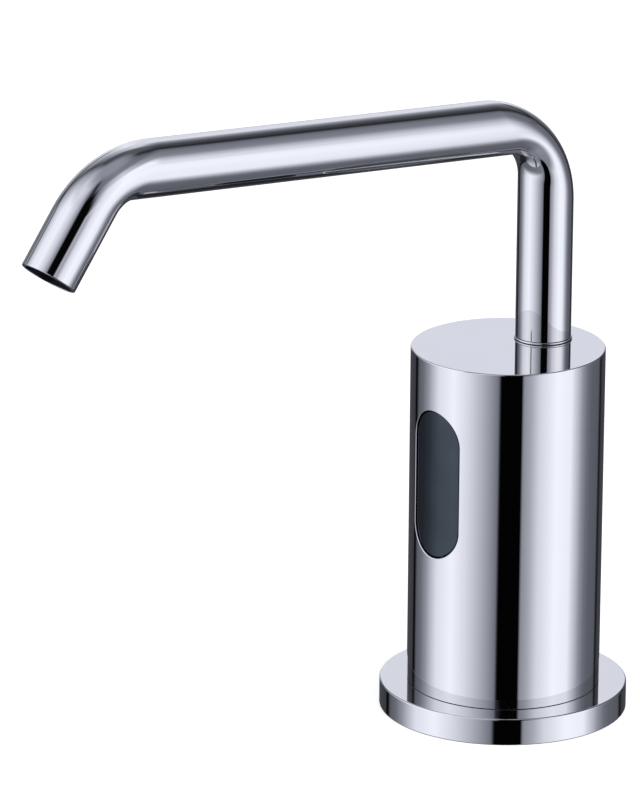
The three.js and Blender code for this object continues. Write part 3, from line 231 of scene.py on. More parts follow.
def rounded(corners):
    """Strokes round a closed outline of (a, b, edge radius) corners, listed anticlockwise."""
    points = [Vector((a, b)) for a, b, _ in corners]
    count = len(points)
    ends = []
    for i, (_, _, radius) in enumerate(corners):
        here = points[i]
        if radius:
            ends.append(corner_arc(points[i - 1], here, points[(i + 1) % count], radius))
        else:
            ends.append((here, here, None))
    strokes = []
    for i, (_, end, arc) in enumerate(ends):
        if arc:
            strokes.append(arc)
        following = ends[(i + 1) % count][0]
        along = following - end
        if along.length < TINY:
            continue
        onward = along.normalized()
        normal = (onward.y, -onward.x)
        strokes.append([(*end, *normal), (*following, *normal)])
    return strokes


def divided(strokes, places, axis):
    """The strokes with their straight ones cut at places along the outline's axis 0 or 1."""
    result = []
    for stroke in strokes:
        if len(stroke) > 2:
            result.append(stroke)
            continue
        first, last = stroke
        start, end = first[axis], last[axis]
        inside = [place for place in places if min(start, end) < place < max(start, end)]
        points = [first]
        for place in sorted(inside, reverse=end < start):
            share = (place - start) / (end - start)
            points.append((
                first[0] + (last[0] - first[0]) * share,
                first[1] + (last[1] - first[1]) * share, first[2], first[3]))
        result.append([*points, last])
    return result


# Meshes

def new_object(name, data):
    """An object of a mesh, a lamp or a camera, in the scene."""
    made = bpy.data.objects.new(name, data)
    bpy.context.scene.collection.objects.link(made)
    return made


def mesh_object(name, points, faces, normals=None):
    """A new object. Points in one place are merged, but each face corner keeps its own normal."""
    index_of = {}
    kept = []
    lookup = []
    for point in points:
        key = tuple(round(c, POINT_DIGITS) for c in point)
        if key not in index_of:
            index_of[key] = len(kept)
            kept.append(point)
        lookup.append(index_of[key])
    clean_faces = []
    sources = []
    for face in faces:
        corners = {}
        for vertex in face:
            corners.setdefault(lookup[vertex], vertex)
        if len(corners) > 2:
            clean_faces.append(list(corners))
            sources.extend(corners.values())
    mesh = bpy.data.meshes.new(name)
    mesh.from_pydata([tuple(p) for p in kept], [], clean_faces)
    mesh.update()
    mesh.shade_smooth()
    if normals:
        mesh.normals_split_custom_set([tuple(normals[source]) for source in sources])
    return new_object(name, mesh)


def bands(base, rows, steps):
    """The faces between rows of points, where each row is a closed ring of steps."""
    faces = []
    for row in range(rows - 1):
        low = base + row * steps
        high = low + steps
        for step in range(steps):
            other = (step + 1) % steps
            faces.append((low + step, low + other, high + other, high + step))
    return faces


def skin(name, strokes, place, steps):
    """Carries strokes round by place(a, b, na, nb, step), which gives a point and its normal."""
    points, normals, faces = [], [], []
    for stroke in strokes:
        faces.extend(bands(len(points), len(stroke), steps))
        for spot in stroke:
            for step in range(steps):
                point, normal = place(*spot, step)
                points.append(point)
                normals.append(normal)
    return mesh_object(name, points, faces, normals)


def turned(name, corners, steps=ROUND_STEPS, origin=(0, 0, 0), axis=ALONG_Z):
    """A turned piece from (radius, height, edge radius) corners."""
    base = Vector(origin)

    def place(a, b, na, nb, step):
        spoke = spoke_at(math.tau * step / steps)
        return base + axis @ (spoke * a + UP * b), axis @ (spoke * na + UP * nb)

    return skin(name, rounded(corners), place, steps)


def rod(name, radius, low, high, origin, axis=ALONG_Z, steps=SMALL_STEPS):
    """A plain round bar to join or to cut with."""
    corners = [(0, low, 0), (radius, low, 0), (radius, high, 0), (0, high, 0)]
    return turned(name, corners, steps, origin, axis)


def round_window(a, b, na, nb, step):
    """A place on a skin round the window: a is the offset from its spine, b the body radius."""
    angle = math.tau * (step + 0.5) / WINDOW_STEPS
    side = WINDOW_STRAIGHT if math.sin(angle) > 0 else -WINDOW_STRAIGHT
    x = a * math.cos(angle)
    z = WINDOW_CENTRE + side + a * math.sin(angle)
    depth = math.sqrt(b * b - x * x)
    tangent = Vector((depth / b, x / b, 0))
    outward = Vector((x / b, -depth / b, 0))
    spread = tangent * math.cos(angle) + UP * math.sin(angle)
    return Vector((x, -depth, z)), spread * na + outward * nb


def window_piece(name, corners, reach, cuts):
    """A piece of the window's form, with its flat faces cut up to follow the body's curve."""
    places = [reach * i / cuts for i in range(1, cuts)]
    return skin(name, divided(rounded(corners), places, 0), round_window, WINDOW_STEPS)


def cut(target, tools, operation="DIFFERENCE"):
    """Applies boolean tools to a mesh object and removes the tools."""
    for tool in tools:
        modifier = target.modifiers.new("cut", "BOOLEAN")
        modifier.operation = operation
        modifier.solver = "EXACT"
        modifier.object = tool
    graph = bpy.context.evaluated_depsgraph_get()
    result = bpy.data.meshes.new_from_object(target.evaluated_get(graph))
    result.name = target.name
    target.modifiers.clear()
    target.data = result
    for tool in tools:
        bpy.data.objects.remove(tool)


# Node trees

class Graph:
    """A node tree with helpers that add nodes to it."""

    def __init__(self, tree):
        self.tree = tree

    def feed(self, target, value):
        """Links an input to a socket or sets its value."""
        if isinstance(value, bpy.types.NodeSocket):
            self.tree.links.new(value, target)
        else:
            target.default_value = value

    def add(self, kind, inputs=None, **settings):
        """A new node, with its inputs fed by name or number."""
        node = self.tree.nodes.new(kind)
        for key, value in settings.items():
            setattr(node, key, value)
        for key, value in (inputs or {}).items():
            self.feed(node.inputs[key], value)
        return node

    def calc(self, operation, *inputs):
        """The result of an operation on numbers."""
        return self.add("ShaderNodeMath", dict(enumerate(inputs)), operation=operation).outputs["Value"]

    def mixed(self, factor, first, second, blend="MIX"):
        """A mix of two colours."""
        node = self.add("ShaderNodeMix", {"Factor": factor}, data_type="RGBA", blend_type=blend)
        colours = [s for s in node.inputs if s.type == "RGBA"]
        self.feed(colours[0], first)
        self.feed(colours[1], second)
        return next(s for s in node.outputs if s.type == "RGBA")

    def either(self, factor, first, second):
        """A mix of two shaders."""
        return self.add("ShaderNodeMixShader", {0: factor, 1: first, 2: second}).outputs["Shader"]


# The range of a noise pattern over which what it drives goes from one value to the other
PATTERN_LOW = 0.3
PATTERN_HIGH = 0.7


class Finish(Graph):
    """A material with a Principled shader, and procedural detail for it."""

    def __init__(self, name, colour, roughness, metallic=0.0):
        self.material = bpy.data.materials.new(name)
        self.material.use_nodes = True
        super().__init__(self.material.node_tree)
        self.shader = self.tree.nodes["Principled BSDF"]
        self.give("Base Color", (*colour, 1))
        self.give("Roughness", roughness)
        self.give("Metallic", metallic)

    @cached_property
    def coords(self):
        """The place on the piece, in metres."""
        return self.add("ShaderNodeTexCoord").outputs["Object"]

    def give(self, name, value):
        """Links or sets an input of the shader."""
        self.feed(self.shader.inputs[name], value)

    def noise(self, per_metre, detail=3.0, stretch=(1, 1, 1)):
        """A noise pattern with a number of cells to the metre."""
        mapping = self.add("ShaderNodeMapping", {"Vector": self.coords, "Scale": stretch})
        noise = self.add("ShaderNodeTexNoise", {
            "Vector": mapping.outputs["Vector"], "Scale": per_metre, "Detail": detail})
        return noise.outputs["Fac"]

    def spread(self, pattern, low, high):
        """A number that follows a pattern between two values."""
        ranged = self.add("ShaderNodeMapRange", {
            "Value": pattern, "From Min": PATTERN_LOW, "From Max": PATTERN_HIGH,
            "To Min": low, "To Max": high})
        return ranged.outputs["Result"]

    def tinted(self, pattern, dark, light):
        """The surface's colour follows a pattern between two colours."""
        node = self.add("ShaderNodeValToRGB", {"Fac": pattern})
        start, stop = node.color_ramp.elements
        start.position, start.color = PATTERN_LOW, (*dark, 1)
        stop.position, stop.color = PATTERN_HIGH, (*light, 1)
        self.give("Base Color", node.outputs["Color"])

    def rough(self, pattern, low, high):
        """The surface's roughness follows a pattern between two values."""
        self.give("Roughness", self.spread(pattern, low, high))

    def bump(self, pattern, height, strength):
        """Bumps the surface by a pattern, height in metres."""
        bump = self.add("ShaderNodeBump", {"Height": pattern, "Distance": height, "Strength": strength})
        self.give("Normal", bump.outputs["Normal"])


# Materials

CHROME = (0.80, 0.80, 0.80)
SMOKE = (0.054, 0.067, 0.078)
RUBBER = (0.02, 0.02, 0.021)
RUBBER_DARK = (0.014, 0.014, 0.015)
RUBBER_LIGHT = (0.028, 0.028, 0.03)
# The bore's colour: dull metal darkened to near black, which is painted shade inside the tube
BORE_SHADE_GREY = (0.05, 0.05, 0.055)
LACQUER = (0.02, 0.11, 0.05)
LACQUER_DARK = (0.012, 0.09, 0.035)
LACQUER_LIGHT = (0.016, 0.105, 0.042)
TRACK_GREEN = (0.05, 0.22, 0.10)
TRACKS_PER_METRE = 260
TRACK_WIDTH = 0.035
PLASTIC_IOR = 1.5

# Stretches of a noise pattern that draw it out into lines round a piece
FINE_LINES = (1, 1, 30)
COARSE_LINES = (1, 1, 4)


def scaled(colour, factor):
    """A colour made darker or lighter."""
    return tuple(min(1.0, c * factor) for c in colour)


def chrome_finish():
    """Mirror chrome: a trace of haze and a very slow waviness of the polished surface."""
    made = Finish("polished_chrome", CHROME, roughness=0.03, metallic=1.0)
    made.rough(made.noise(per_metre=180, detail=4.0), low=0.015, high=0.04)
    made.tinted(made.noise(per_metre=60, detail=2.0), dark=scaled(CHROME, 0.985), light=CHROME)
    made.bump(made.noise(per_metre=140, detail=1.0), height=4 * MICRON, strength=0.4)
    return made.material


def smoked_finish():
    """Smoked lens: a dark mirror with a faint moulded ripple."""
    made = Finish("smoked_lens", SMOKE, roughness=0.05, metallic=1.0)
    made.rough(made.noise(per_metre=220), low=0.03, high=0.07)
    made.tinted(made.noise(per_metre=90, detail=2.0), dark=scaled(SMOKE, 0.9), light=scaled(SMOKE, 1.08))
    made.bump(made.noise(per_metre=160, detail=1.0), height=6 * MICRON, strength=0.4)
    return made.material


def rubber_finish():
    """Black rubber: a matt grain with greyer spots."""
    made = Finish("black_rubber", RUBBER, roughness=0.8)
    grain = made.noise(per_metre=2600, detail=4.0)
    made.rough(grain, low=0.68, high=0.88)
    made.tinted(made.noise(per_metre=400), dark=RUBBER_DARK, light=RUBBER_LIGHT)
    made.bump(grain, height=30 * MICRON, strength=0.6)
    return made.material


def moulded_finish(name, colour, roughness):
    """Moulded plastic: fine spark grain and slight mottling."""
    made = Finish(name, colour, roughness)
    grain = made.noise(per_metre=3200, detail=5.0)
    made.rough(grain, low=roughness - 0.08, high=roughness + 0.08)
    made.tinted(made.noise(per_metre=150), dark=scaled(colour, 0.86), light=scaled(colour, 1.1))
    made.bump(grain, height=20 * MICRON, strength=0.5)
    return made.material


def metal_finish(name, colour, roughness, stretch=FINE_LINES):
    """Turned or drawn metal: lines round the piece and slow changes of tint."""
    made = Finish(name, colour, roughness, metallic=1.0)
    lines = made.noise(per_metre=420, stretch=stretch)
    made.rough(lines, low=roughness - 0.07, high=roughness + 0.09)
    made.tinted(made.noise(per_metre=120), dark=scaled(colour, 0.85), light=scaled(colour, 1.06))
    made.bump(lines, height=10 * MICRON, strength=0.5)
    return made.material


def board_finish():
    """Circuit board: green lacquer with paler tracks. The board stands, so its pattern does too."""
    made = Finish("circuit_board_lacquer", LACQUER, roughness=0.35)
    standing = made.add("ShaderNodeMapping", {"Vector": made.coords, "Rotation": (math.pi / 2, 0, 0)})
    tracks = made.add("ShaderNodeTexBrick", {
        "Vector": standing.outputs["Vector"], "Scale": TRACKS_PER_METRE, "Mortar Size": TRACK_WIDTH,
        "Color1": (*LACQUER_DARK, 1), "Color2": (*LACQUER_LIGHT, 1), "Mortar": (*TRACK_GREEN, 1)})
    made.give("Base Color", tracks.outputs["Color"])
    made.rough(made.noise(per_metre=300), low=0.28, high=0.42)
    made.bump(tracks.outputs["Fac"], height=40 * MICRON, strength=0.5)
    return made.material


def clear_finish(name, colour, roughness, transmission):
    """Clear or tinted glossy plastic, such as a diode or a hose."""
    made = Finish(name, colour, roughness)
    made.give("Transmission Weight", transmission)
    made.give("IOR", PLASTIC_IOR)
    made.rough(made.noise(per_metre=500), low=roughness - 0.04, high=roughness + 0.06)
    made.tinted(made.noise(per_metre=260), dark=scaled(colour, 0.85), light=scaled(colour, 1.1))
    made.bump(made.noise(per_metre=700, detail=2.0), height=10 * MICRON, strength=0.4)
    return made.material


FINISHES = {
    "chrome": chrome_finish(),
    "brass": metal_finish("turned_brass", (0.72, 0.55, 0.26), roughness=0.3),
    "steel": metal_finish("bright_steel", (0.60, 0.61, 0.63), roughness=0.3),
    "motor_steel": metal_finish("dull_plated_steel", (0.48, 0.49, 0.51), 0.42, COARSE_LINES),
    "smoked_lens": smoked_finish(),
    "black_rubber": rubber_finish(),
    "black_plastic": moulded_finish("black_plastic", (0.012, 0.012, 0.014), roughness=0.5),
    "grey_plastic": moulded_finish("grey_plastic", (0.26, 0.28, 0.31), roughness=0.5),
    "white_plastic": moulded_finish("white_plastic", (0.80, 0.78, 0.73), roughness=0.42),
    "clear_hose": clear_finish("clear_hose", (0.80, 0.83, 0.84), roughness=0.25, transmission=0.5),
    "board_green": board_finish(),
    "red_diode": clear_finish("red_diode", (0.55, 0.03, 0.03), roughness=0.15, transmission=0.3),
    "dark_diode": clear_finish("dark_diode", (0.22, 0.03, 0.05), roughness=0.15, transmission=0.2),
    "red_lead": moulded_finish("red_insulation", (0.42, 0.02, 0.02), roughness=0.4),
    "black_lead": moulded_finish("black_insulation", (0.018, 0.018, 0.018), roughness=0.4),
}


def coat(piece, slot):
    """Gives a piece the finish of a material slot and no other."""
    piece.data.materials.clear()
    piece.data.materials.append(FINISHES[slot])


def dress_nodes():
    """Every CAD node that stays gets the finish of its slot."""
    for row in frame["record"]["subparts"]:
        coat(frame["nodes"][row["node"]], row["material_slot"])


def dress(piece, body, slot, *nodes):
    """Gives a new piece the finish of a slot and its CAD body, and hides the node that it stands for."""
    coat(piece, slot)
    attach(piece, body)
    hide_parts(*nodes)


# Flange and gasket

def make_flange():
    """The round foot plate, with the gasket's groove in its underside."""
    flange = turned("flange_skin", [
        (FLANGE_BORE, 0, 0),
        (GROOVE_INNER, 0, 0),
        (GROOVE_INNER, GROOVE_DEPTH, 0),
        (GROOVE_OUTER, GROOVE_DEPTH, 0),
        (GROOVE_OUTER, 0, 0),
        (FLANGE_RADIUS, 0, FLANGE_TOE),
        (FLANGE_RADIUS, FLANGE_TOP, FLANGE_EDGE),
        (FLANGE_BORE, FLANGE_TOP, 0),
    ])
    dress(flange, "housing", "chrome", "flange")


def make_gasket():
    """The sealing ring in the flange's groove."""
    low, high = GASKET_LOW.z, GASKET_HIGH.z
    inner = GROOVE_INNER + GASKET_GAP
    outer = GROOVE_OUTER - GASKET_GAP
    gasket = turned("deck_gasket_skin", [
        (inner, low, GASKET_EDGE),
        (outer, low, GASKET_EDGE),
        (outer, high, GASKET_EDGE),
        (inner, high, GASKET_EDGE),
    ])
    dress(gasket, "housing", "black_rubber", "deck_gasket")


# Body shell

def body_normal(point):
    """The exact normal of the shell's outer face, top or top edge at a point on one of them."""
    spoke = Vector((point.x, point.y, 0))
    radius = spoke.length
    if radius < AXIS_SLACK:
        return UP
    spoke /= radius
    across = radius - (BODY_RADIUS - SHELL_EDGE)
    above = point.z - (BODY_TOP - SHELL_EDGE)
    if across > 0 and above > 0:
        return (spoke * across + UP * above).normalized()
    return UP if above > across else spoke


def exact_shading(mesh):
    """Splits the shell's normals: exact ones on the outer faces, smooth ones elsewhere."""
    mesh.shade_smooth()
    mesh.set_sharp_from_angle(angle=SHARP_ANGLE)
    mesh.update()
    normals = [Vector(corner.vector) for corner in mesh.corner_normals]
    for face in mesh.polygons:
        centre = face.center
        corners = [mesh.vertices[index].co for index in face.vertices]
        outer = all(math.hypot(c.x, c.y) > BODY_RADIUS - FACE_SLACK for c in corners)
        top = all(c.z > BODY_TOP - FACE_SLACK for c in corners)
        edge = (
            math.hypot(centre.x, centre.y) > BODY_RADIUS - SHELL_EDGE
            and centre.z > BODY_TOP - SHELL_EDGE
            and face.normal.dot(body_normal(centre)) > EDGE_FACING)
        if not (outer or top or edge):
            continue
        for loop in face.loop_indices:
            place = mesh.vertices[mesh.loops[loop].vertex_index].co
            if top:
                normals[loop] = UP
            elif outer:
                normals[loop] = Vector((place.x, place.y, 0)).normalized()
            else:
                normals[loop] = body_normal(place)
    mesh.normals_split_custom_set([tuple(n) for n in normals])


def window_cutter():
    """The window's cut, opening out over a small radius at the shell's outer face."""
    inner = BODY_RADIUS - SHELL_WALL - OVERRUN
    half = WINDOW_HALF_WIDTH
    flare = half + 2 * WINDOW_EDGE
    return window_piece("window_cutter", [
        (0, inner, 0),
        (half, inner, 0),
        (half, BODY_RADIUS, WINDOW_EDGE),
        (flare, BODY_RADIUS, 0),
        (flare, BODY_RADIUS + OVERRUN, 0),
        (0, BODY_RADIUS + OVERRUN, 0),
    ], half, WINDOW_CUTS)


def make_shell():
    """The cylinder with its flat top, the boss for the spout's stem, and its three openings."""
    low = SHELL_LOW.z
    inner = BODY_RADIUS - SHELL_WALL
    roof = BODY_TOP - SHELL_ROOF
    shell = turned("body_skin", [
        (0, roof, 0),
        (inner, roof, 0),
        (inner, low, 0),
        (BODY_RADIUS, low, SHELL_TOE),
        (BODY_RADIUS, BODY_TOP, SHELL_EDGE),
        (0, BODY_TOP, 0),
    ])
    cut(shell, [rod("boss", BOSS_RADIUS, roof - BOSS_LENGTH, roof + SHELL_ROOF / 2, SPOUT_AXIS)], "UNION")
    cut(shell, [
        window_cutter(),
        rod("stem_hole", STEM_HOLE, roof - BOSS_LENGTH - OVERRUN, BODY_TOP + OVERRUN, SPOUT_AXIS),
        rod("grub_hole", GRUB_HOLE, inner - OVERRUN, BODY_RADIUS + OVERRUN, GRUB_PLACE, ALONG_Y),
    ])
    exact_shading(shell.data)
    dress(shell, "housing", "chrome", "body_shell")


def make_grub_screw():
    """The headless screw at the back, with a hexagon socket and chamfered ends."""
    inner, outer = GRUB_LOW.y, GRUB_HIGH.y
    neck = GRUB_RADIUS - GRUB_CHAMFER
    screw = turned("grub_screw_skin", [
        (0, inner, 0),
        (neck, inner, 0),
        (GRUB_RADIUS, inner + GRUB_CHAMFER, 0),
        (GRUB_RADIUS, outer - GRUB_CHAMFER, 0),
        (neck, outer, 0),
        (0, outer, 0),
    ], SMALL_STEPS, GRUB_PLACE, ALONG_Y)
    cut(screw, [rod("key", KEY_RADIUS, outer - KEY_DEPTH, outer + OVERRUN, GRUB_PLACE, ALONG_Y, KEY_SIDES)])
    screw.data.set_sharp_from_angle(angle=SHARP_ANGLE)
    dress(screw, "housing", "steel", "shell_grub_screw")


# Sensor window

def make_lens():
    """The smoked lens, with a lip that holds it behind the window's rim."""
    front = BODY_RADIUS - LENS_RECESS
    back = front - LENS_THICKNESS
    half = WINDOW_HALF_WIDTH - LENS_GAP
    lip = WINDOW_HALF_WIDTH + LENS_LIP
    lens = window_piece("sensor_lens_skin", [
        (0, back, 0),
        (lip, back, 0),
        (lip, back + LENS_LIP_THICKNESS, LENS_LIP_EDGE),
        (half, back + LENS_LIP_THICKNESS, 0),
        (half, front, LENS_EDGE),
        (0, front, 0),
    ], lip, LENS_CUTS)
    dress(lens, "housing", "smoked_lens", "sensor_lens")


# Spout

# Heading before each bend, and its turn
BENDS = [(math.pi / 2, math.pi / 2 - RISE), (RISE, TIP_TURN)]


def moved(spot, heading, along, outward):
    """A point in the plane X = 0 moved along a heading, and outward across it."""
    return spot + Vector((
        along * math.cos(heading) - outward * math.sin(heading),
        along * math.sin(heading) + outward * math.cos(heading)))


def straight(begin, end):
    """A function of a share from 0 to 1 that gives a point along a straight."""
    return lambda share: begin.lerp(end, share)


def bend(centre, heading, turn, radius):
    """A function of a share from 0 to 1 that gives a point round a bend."""
    return lambda share: moved(centre, heading - turn * share, 0, radius)


def side_of_spout(start, offset, radii):
    """The straight, bend, straight, bend and straight of one side of the tube, as functions.

    Points are (forward, up). The side runs at an outward offset from the centreline, and its
    bends have radii of their own.
    """
    first = Vector((0, FIRST_CORNER))
    second = moved(first, RISE, RUN_LENGTH, 0)
    spot = moved(Vector((0, start)), math.pi / 2, 0, offset)
    result = []
    for corner, (heading, turn), radius in zip((first, second), BENDS, radii):
        begin = moved(corner, heading, (offset - radius) * math.tan(turn / 2), offset)
        centre = moved(begin, heading, 0, -radius)
        result.append(straight(spot, begin))
        result.append(bend(centre, heading, turn, radius))
        spot = result[-1](1)
    end = moved(second, RISE - TIP_TURN, TIP_LENGTH, offset)
    result.append(straight(spot, end))
    return result


class Route:
    """The spout's tube in the plane X = 0, by length from its foot."""

    def __init__(self, start):
        outer = side_of_spout(start, TUBE_RADIUS, OUTER_BENDS)
        inner = side_of_spout(start, -TUBE_RADIUS, INNER_BENDS)
        headings = [(BENDS[0][0], 0), BENDS[0], (RISE, 0), BENDS[1], (RISE - TIP_TURN, 0)]
        self.parts = []
        self.length = 0.0
        for high, low, (heading, turn) in zip(outer, inner, headings):
            span = ((high(0) + low(0)) / 2 - (high(1) + low(1)) / 2).length
            self.parts.append((self.length, span, high, low, heading, turn))
            self.length += span

    def at(self, length):
        """The section's middle, its reach to the outer side and the heading at a length."""
        for begin, span, high, low, heading, turn in self.parts:
            if length <= begin + span + TINY:
                break
        share = (length - begin) / span
        upper, lower = high(share), low(share)
        return (upper + lower) / 2, (upper - lower) / 2, heading - turn * share

    def places(self):
        """Lengths at which the skin is divided: often in the bends, seldom along the straights."""
        result = set()
        for begin, span, *_, turn in self.parts:
            steps = BEND_STEPS if turn else STRAIGHT_STEPS
            result.update(round(begin + span * i / steps, LENGTH_DIGITS) for i in range(steps + 1))
        return sorted(result)


ROUTE = Route(TUBE_LOW.z - BODY_TOP)


def upright(point):
    """A (forward, up) direction as one in space."""
    return Vector((0, -point.x, point.y))


def ways(heading):
    """The directions in space along the tube and out of its bends at a heading."""
    here = Vector((0, 0))
    return upright(moved(here, heading, 1, 0)), upright(moved(here, heading, 0, 1))


def round_tube(a, b, na, nb, step):
    """A place on the tube's skin: a is the radius, b the length along the route."""
    middle, reach, heading = ROUTE.at(b)
    along, over = ways(heading)
    angle = math.tau * step / TUBE_STEPS
    side = Vector((TUBE_RADIUS, 0, 0)) * math.cos(angle)
    height = upright(reach).dot(over)
    section = side + upright(reach) * math.sin(angle)
    centre = SPOUT_FOOT + upright(middle)
    spoke = Vector((height * math.cos(angle), 0, 0)) + over * (TUBE_RADIUS * math.sin(angle))
    return centre + section * (a / TUBE_RADIUS), spoke.normalized() * na + along * nb


def make_tube():
    """The spout's tube. Its bore, the last stroke of the outline, shows as unpolished metal darkened to
    near black, which is painted shade inside the tube.
    """
    inner = TUBE_RADIUS - TUBE_WALL
    outline = rounded([
        (inner, 0, 0),
        (TUBE_RADIUS, 0, 0),
        (TUBE_RADIUS, ROUTE.length, TIP_EDGE),
        (inner, ROUTE.length, BORE_EDGE),
    ])
    strokes = divided(outline, ROUTE.places(), 1)
    tube = skin("spout_tube_skin", strokes, round_tube, TUBE_STEPS)
    dress(tube, "spout", "chrome", "spout_tube")
    # The bore is rough like unpolished metal, and its near black colour is painted shade
    tube.data.materials.append(metal_finish("unpolished_bore_painted_shade", BORE_SHADE_GREY, roughness=0.45))
    bore_faces = (len(strokes[-1]) - 1) * TUBE_STEPS
    for face in list(tube.data.polygons)[-bore_faces:]:
        face.material_index = 1


def make_foot_ring():
    """The thin ring that the spout turns on."""
    low, high = RING_LOW.z, RING_HIGH.z
    outer = RING_HIGH.x
    ring = turned("foot_ring_skin", [
        (STEM_HOLE, low, 0),
        (outer, low, RING_FOOT_SHARE * (high - low)),
        (outer, high, RING_TOP_SHARE * (high - low)),
        (STEM_HOLE, high, 0),
    ], TUBE_STEPS, SPOUT_AXIS)
    dress(ring, "housing", "chrome", "foot_ring")


def make_nozzle():
    """The plug in the tube's open end: a dished face with the outlet in its middle."""
    middle, _, heading = ROUTE.at(ROUTE.length)
    along, over = ways(heading)
    axis = Matrix((Vector((1, 0, 0)), over, along)).transposed()
    back, front = -NOZZLE_INSET - NOZZLE_LENGTH, -NOZZLE_INSET
    nozzle = turned("nozzle_skin", [
        (NOZZLE_SOCKET, back, 0),
        (NOZZLE_RADIUS, back, 0),
        (NOZZLE_RADIUS, front, NOZZLE_EDGE),
        (NOZZLE_DISH, front, NOZZLE_EDGE),
        (NOZZLE_OUTLET, front - NOZZLE_DISH_DEPTH, NOZZLE_OUTLET_EDGE),
        (NOZZLE_OUTLET, back + NOZZLE_SOCKET_DEPTH, 0),
        (NOZZLE_SOCKET, back + NOZZLE_SOCKET_DEPTH, 0),
    ], SMALL_STEPS, SPOUT_FOOT + upright(middle), axis)
    dress(nozzle, "spout", "black_plastic", "nozzle")


# Spring of the check valve

def make_spring():
    """The coil between the poppet and the valve's cap, built at one fixed length, though the real one
    closes up as the poppet lifts.
    """
    low, high = node_box("valve_spring")
    middle = (low + high) / 2
    coil_radius = (high.x - low.x) / 2 - SPRING_WIRE_RADIUS
    start = Vector((middle.x, middle.y, low.z + SPRING_WIRE_RADIUS))
    climb = high.z - low.z - 2 * SPRING_WIRE_RADIUS
    count = SPRING_TURNS * SPRING_TURN_STEPS
    points = []
    for step in range(count + 1):
        spoke = spoke_at(math.tau * step / SPRING_TURN_STEPS)
        centre = start + spoke * coil_radius + UP * (climb * step / count)
        for side in range(WIRE_STEPS):
            turn = math.tau * side / WIRE_STEPS
            around = spoke * math.cos(turn) + UP * math.sin(turn)
            points.append(centre + around * SPRING_WIRE_RADIUS)
    first_end = tuple(reversed(range(WIRE_STEPS)))
    last_end = tuple(range(count * WIRE_STEPS, (count + 1) * WIRE_STEPS))
    faces = [*bands(0, count + 1, WIRE_STEPS), first_end, last_end]
    spring = mesh_object("valve_spring_coil", points, faces)
    dress(spring, "housing", "steel", "valve_spring")
    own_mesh(spring)


# Camera, from the photograph's viewing angle

CAMERA_AZIMUTH = math.radians(50.056)
CAMERA_ELEVATION = math.radians(17.723)
CAMERA_ROLL = math.radians(0.4206)
CAMERA_DISTANCE = 1643.3 * MM
TARGET_HEIGHT = 82.17 * MM
TARGET_SIDE = -48.08 * MM
LENS_MM = 288.12
SENSOR_MM = 36
CLIP_START = 0.05
CLIP_END = 20


def make_camera():
    """The camera. It looks at a point beside the body's axis, and is rolled by a little."""
    right, back = spoke_at(CAMERA_AZIMUTH), direction(CAMERA_AZIMUTH, CAMERA_ELEVATION)
    up = back.cross(right)
    target = Vector((0, 0, TARGET_HEIGHT)) + right * TARGET_SIDE
    rolled_right = right * math.cos(CAMERA_ROLL) + up * math.sin(CAMERA_ROLL)
    rolled_up = up * math.cos(CAMERA_ROLL) - right * math.sin(CAMERA_ROLL)
    data = bpy.data.cameras.new("camera")
    data.lens = LENS_MM
    data.sensor_width = SENSOR_MM
    data.clip_start = CLIP_START
    data.clip_end = CLIP_END
    camera = new_object("camera", data)
    turn = Matrix((rolled_right, rolled_up, back)).transposed().to_4x4()
    camera.matrix_world = Matrix.Translation(target + back * CAMERA_DISTANCE) @ turn
    bpy.context.scene.camera = camera


# Floor and lamps

FLOOR_HALF = 3.0
FLOOR_DROP = 0.02 * MM
FLOOR_COLOUR = (0.9, 0.9, 0.9)
FLOOR_GLOW = 0.45


def make_floor():
    """A plain pale floor, brighter to the camera alone. Polished metal doesn't mirror it."""
    data = bpy.data.meshes.new("floor")
    signs = ((-1, -1), (1, -1), (1, 1), (-1, 1))
    data.from_pydata([(x * FLOOR_HALF, y * FLOOR_HALF, -FLOOR_DROP) for x, y in signs], [], [(0, 1, 2, 3)])
    floor = new_object("floor", data)
    made = Finish("pale_floor", FLOOR_COLOUR, roughness=0.9)
    made.give("Specular IOR Level", 0.0)
    plain = made.shader.outputs["BSDF"]
    glow = made.add("ShaderNodeEmission", {"Color": WHITE, "Strength": FLOOR_GLOW}).outputs["Emission"]
    both = made.add("ShaderNodeAddShader", {0: plain, 1: glow}).outputs["Shader"]
    to_camera = made.add("ShaderNodeLightPath").outputs["Is Camera Ray"]
    made.feed(made.tree.nodes["Material Output"].inputs["Surface"], made.either(to_camera, plain, both))
    data.materials.append(made.material)
    floor.visible_glossy = False


def make_lamp(name, azimuth, elevation, distance, size, power):
    """A square soft lamp that faces the body and shows in no reflection. Angles in degrees."""
    back = direction(math.radians(azimuth), math.radians(elevation))
    data = bpy.data.lights.new(name, "AREA")
    data.shape = "SQUARE"
    data.size = size
    data.energy = power
    lamp = new_object(name, data)
    lamp.location = Vector((0, 0, BODY_TOP)) + back * distance
    lamp.rotation_mode = "QUATERNION"
    lamp.rotation_quaternion = back.to_track_quat("Z", "Y")
    lamp.visible_glossy = False
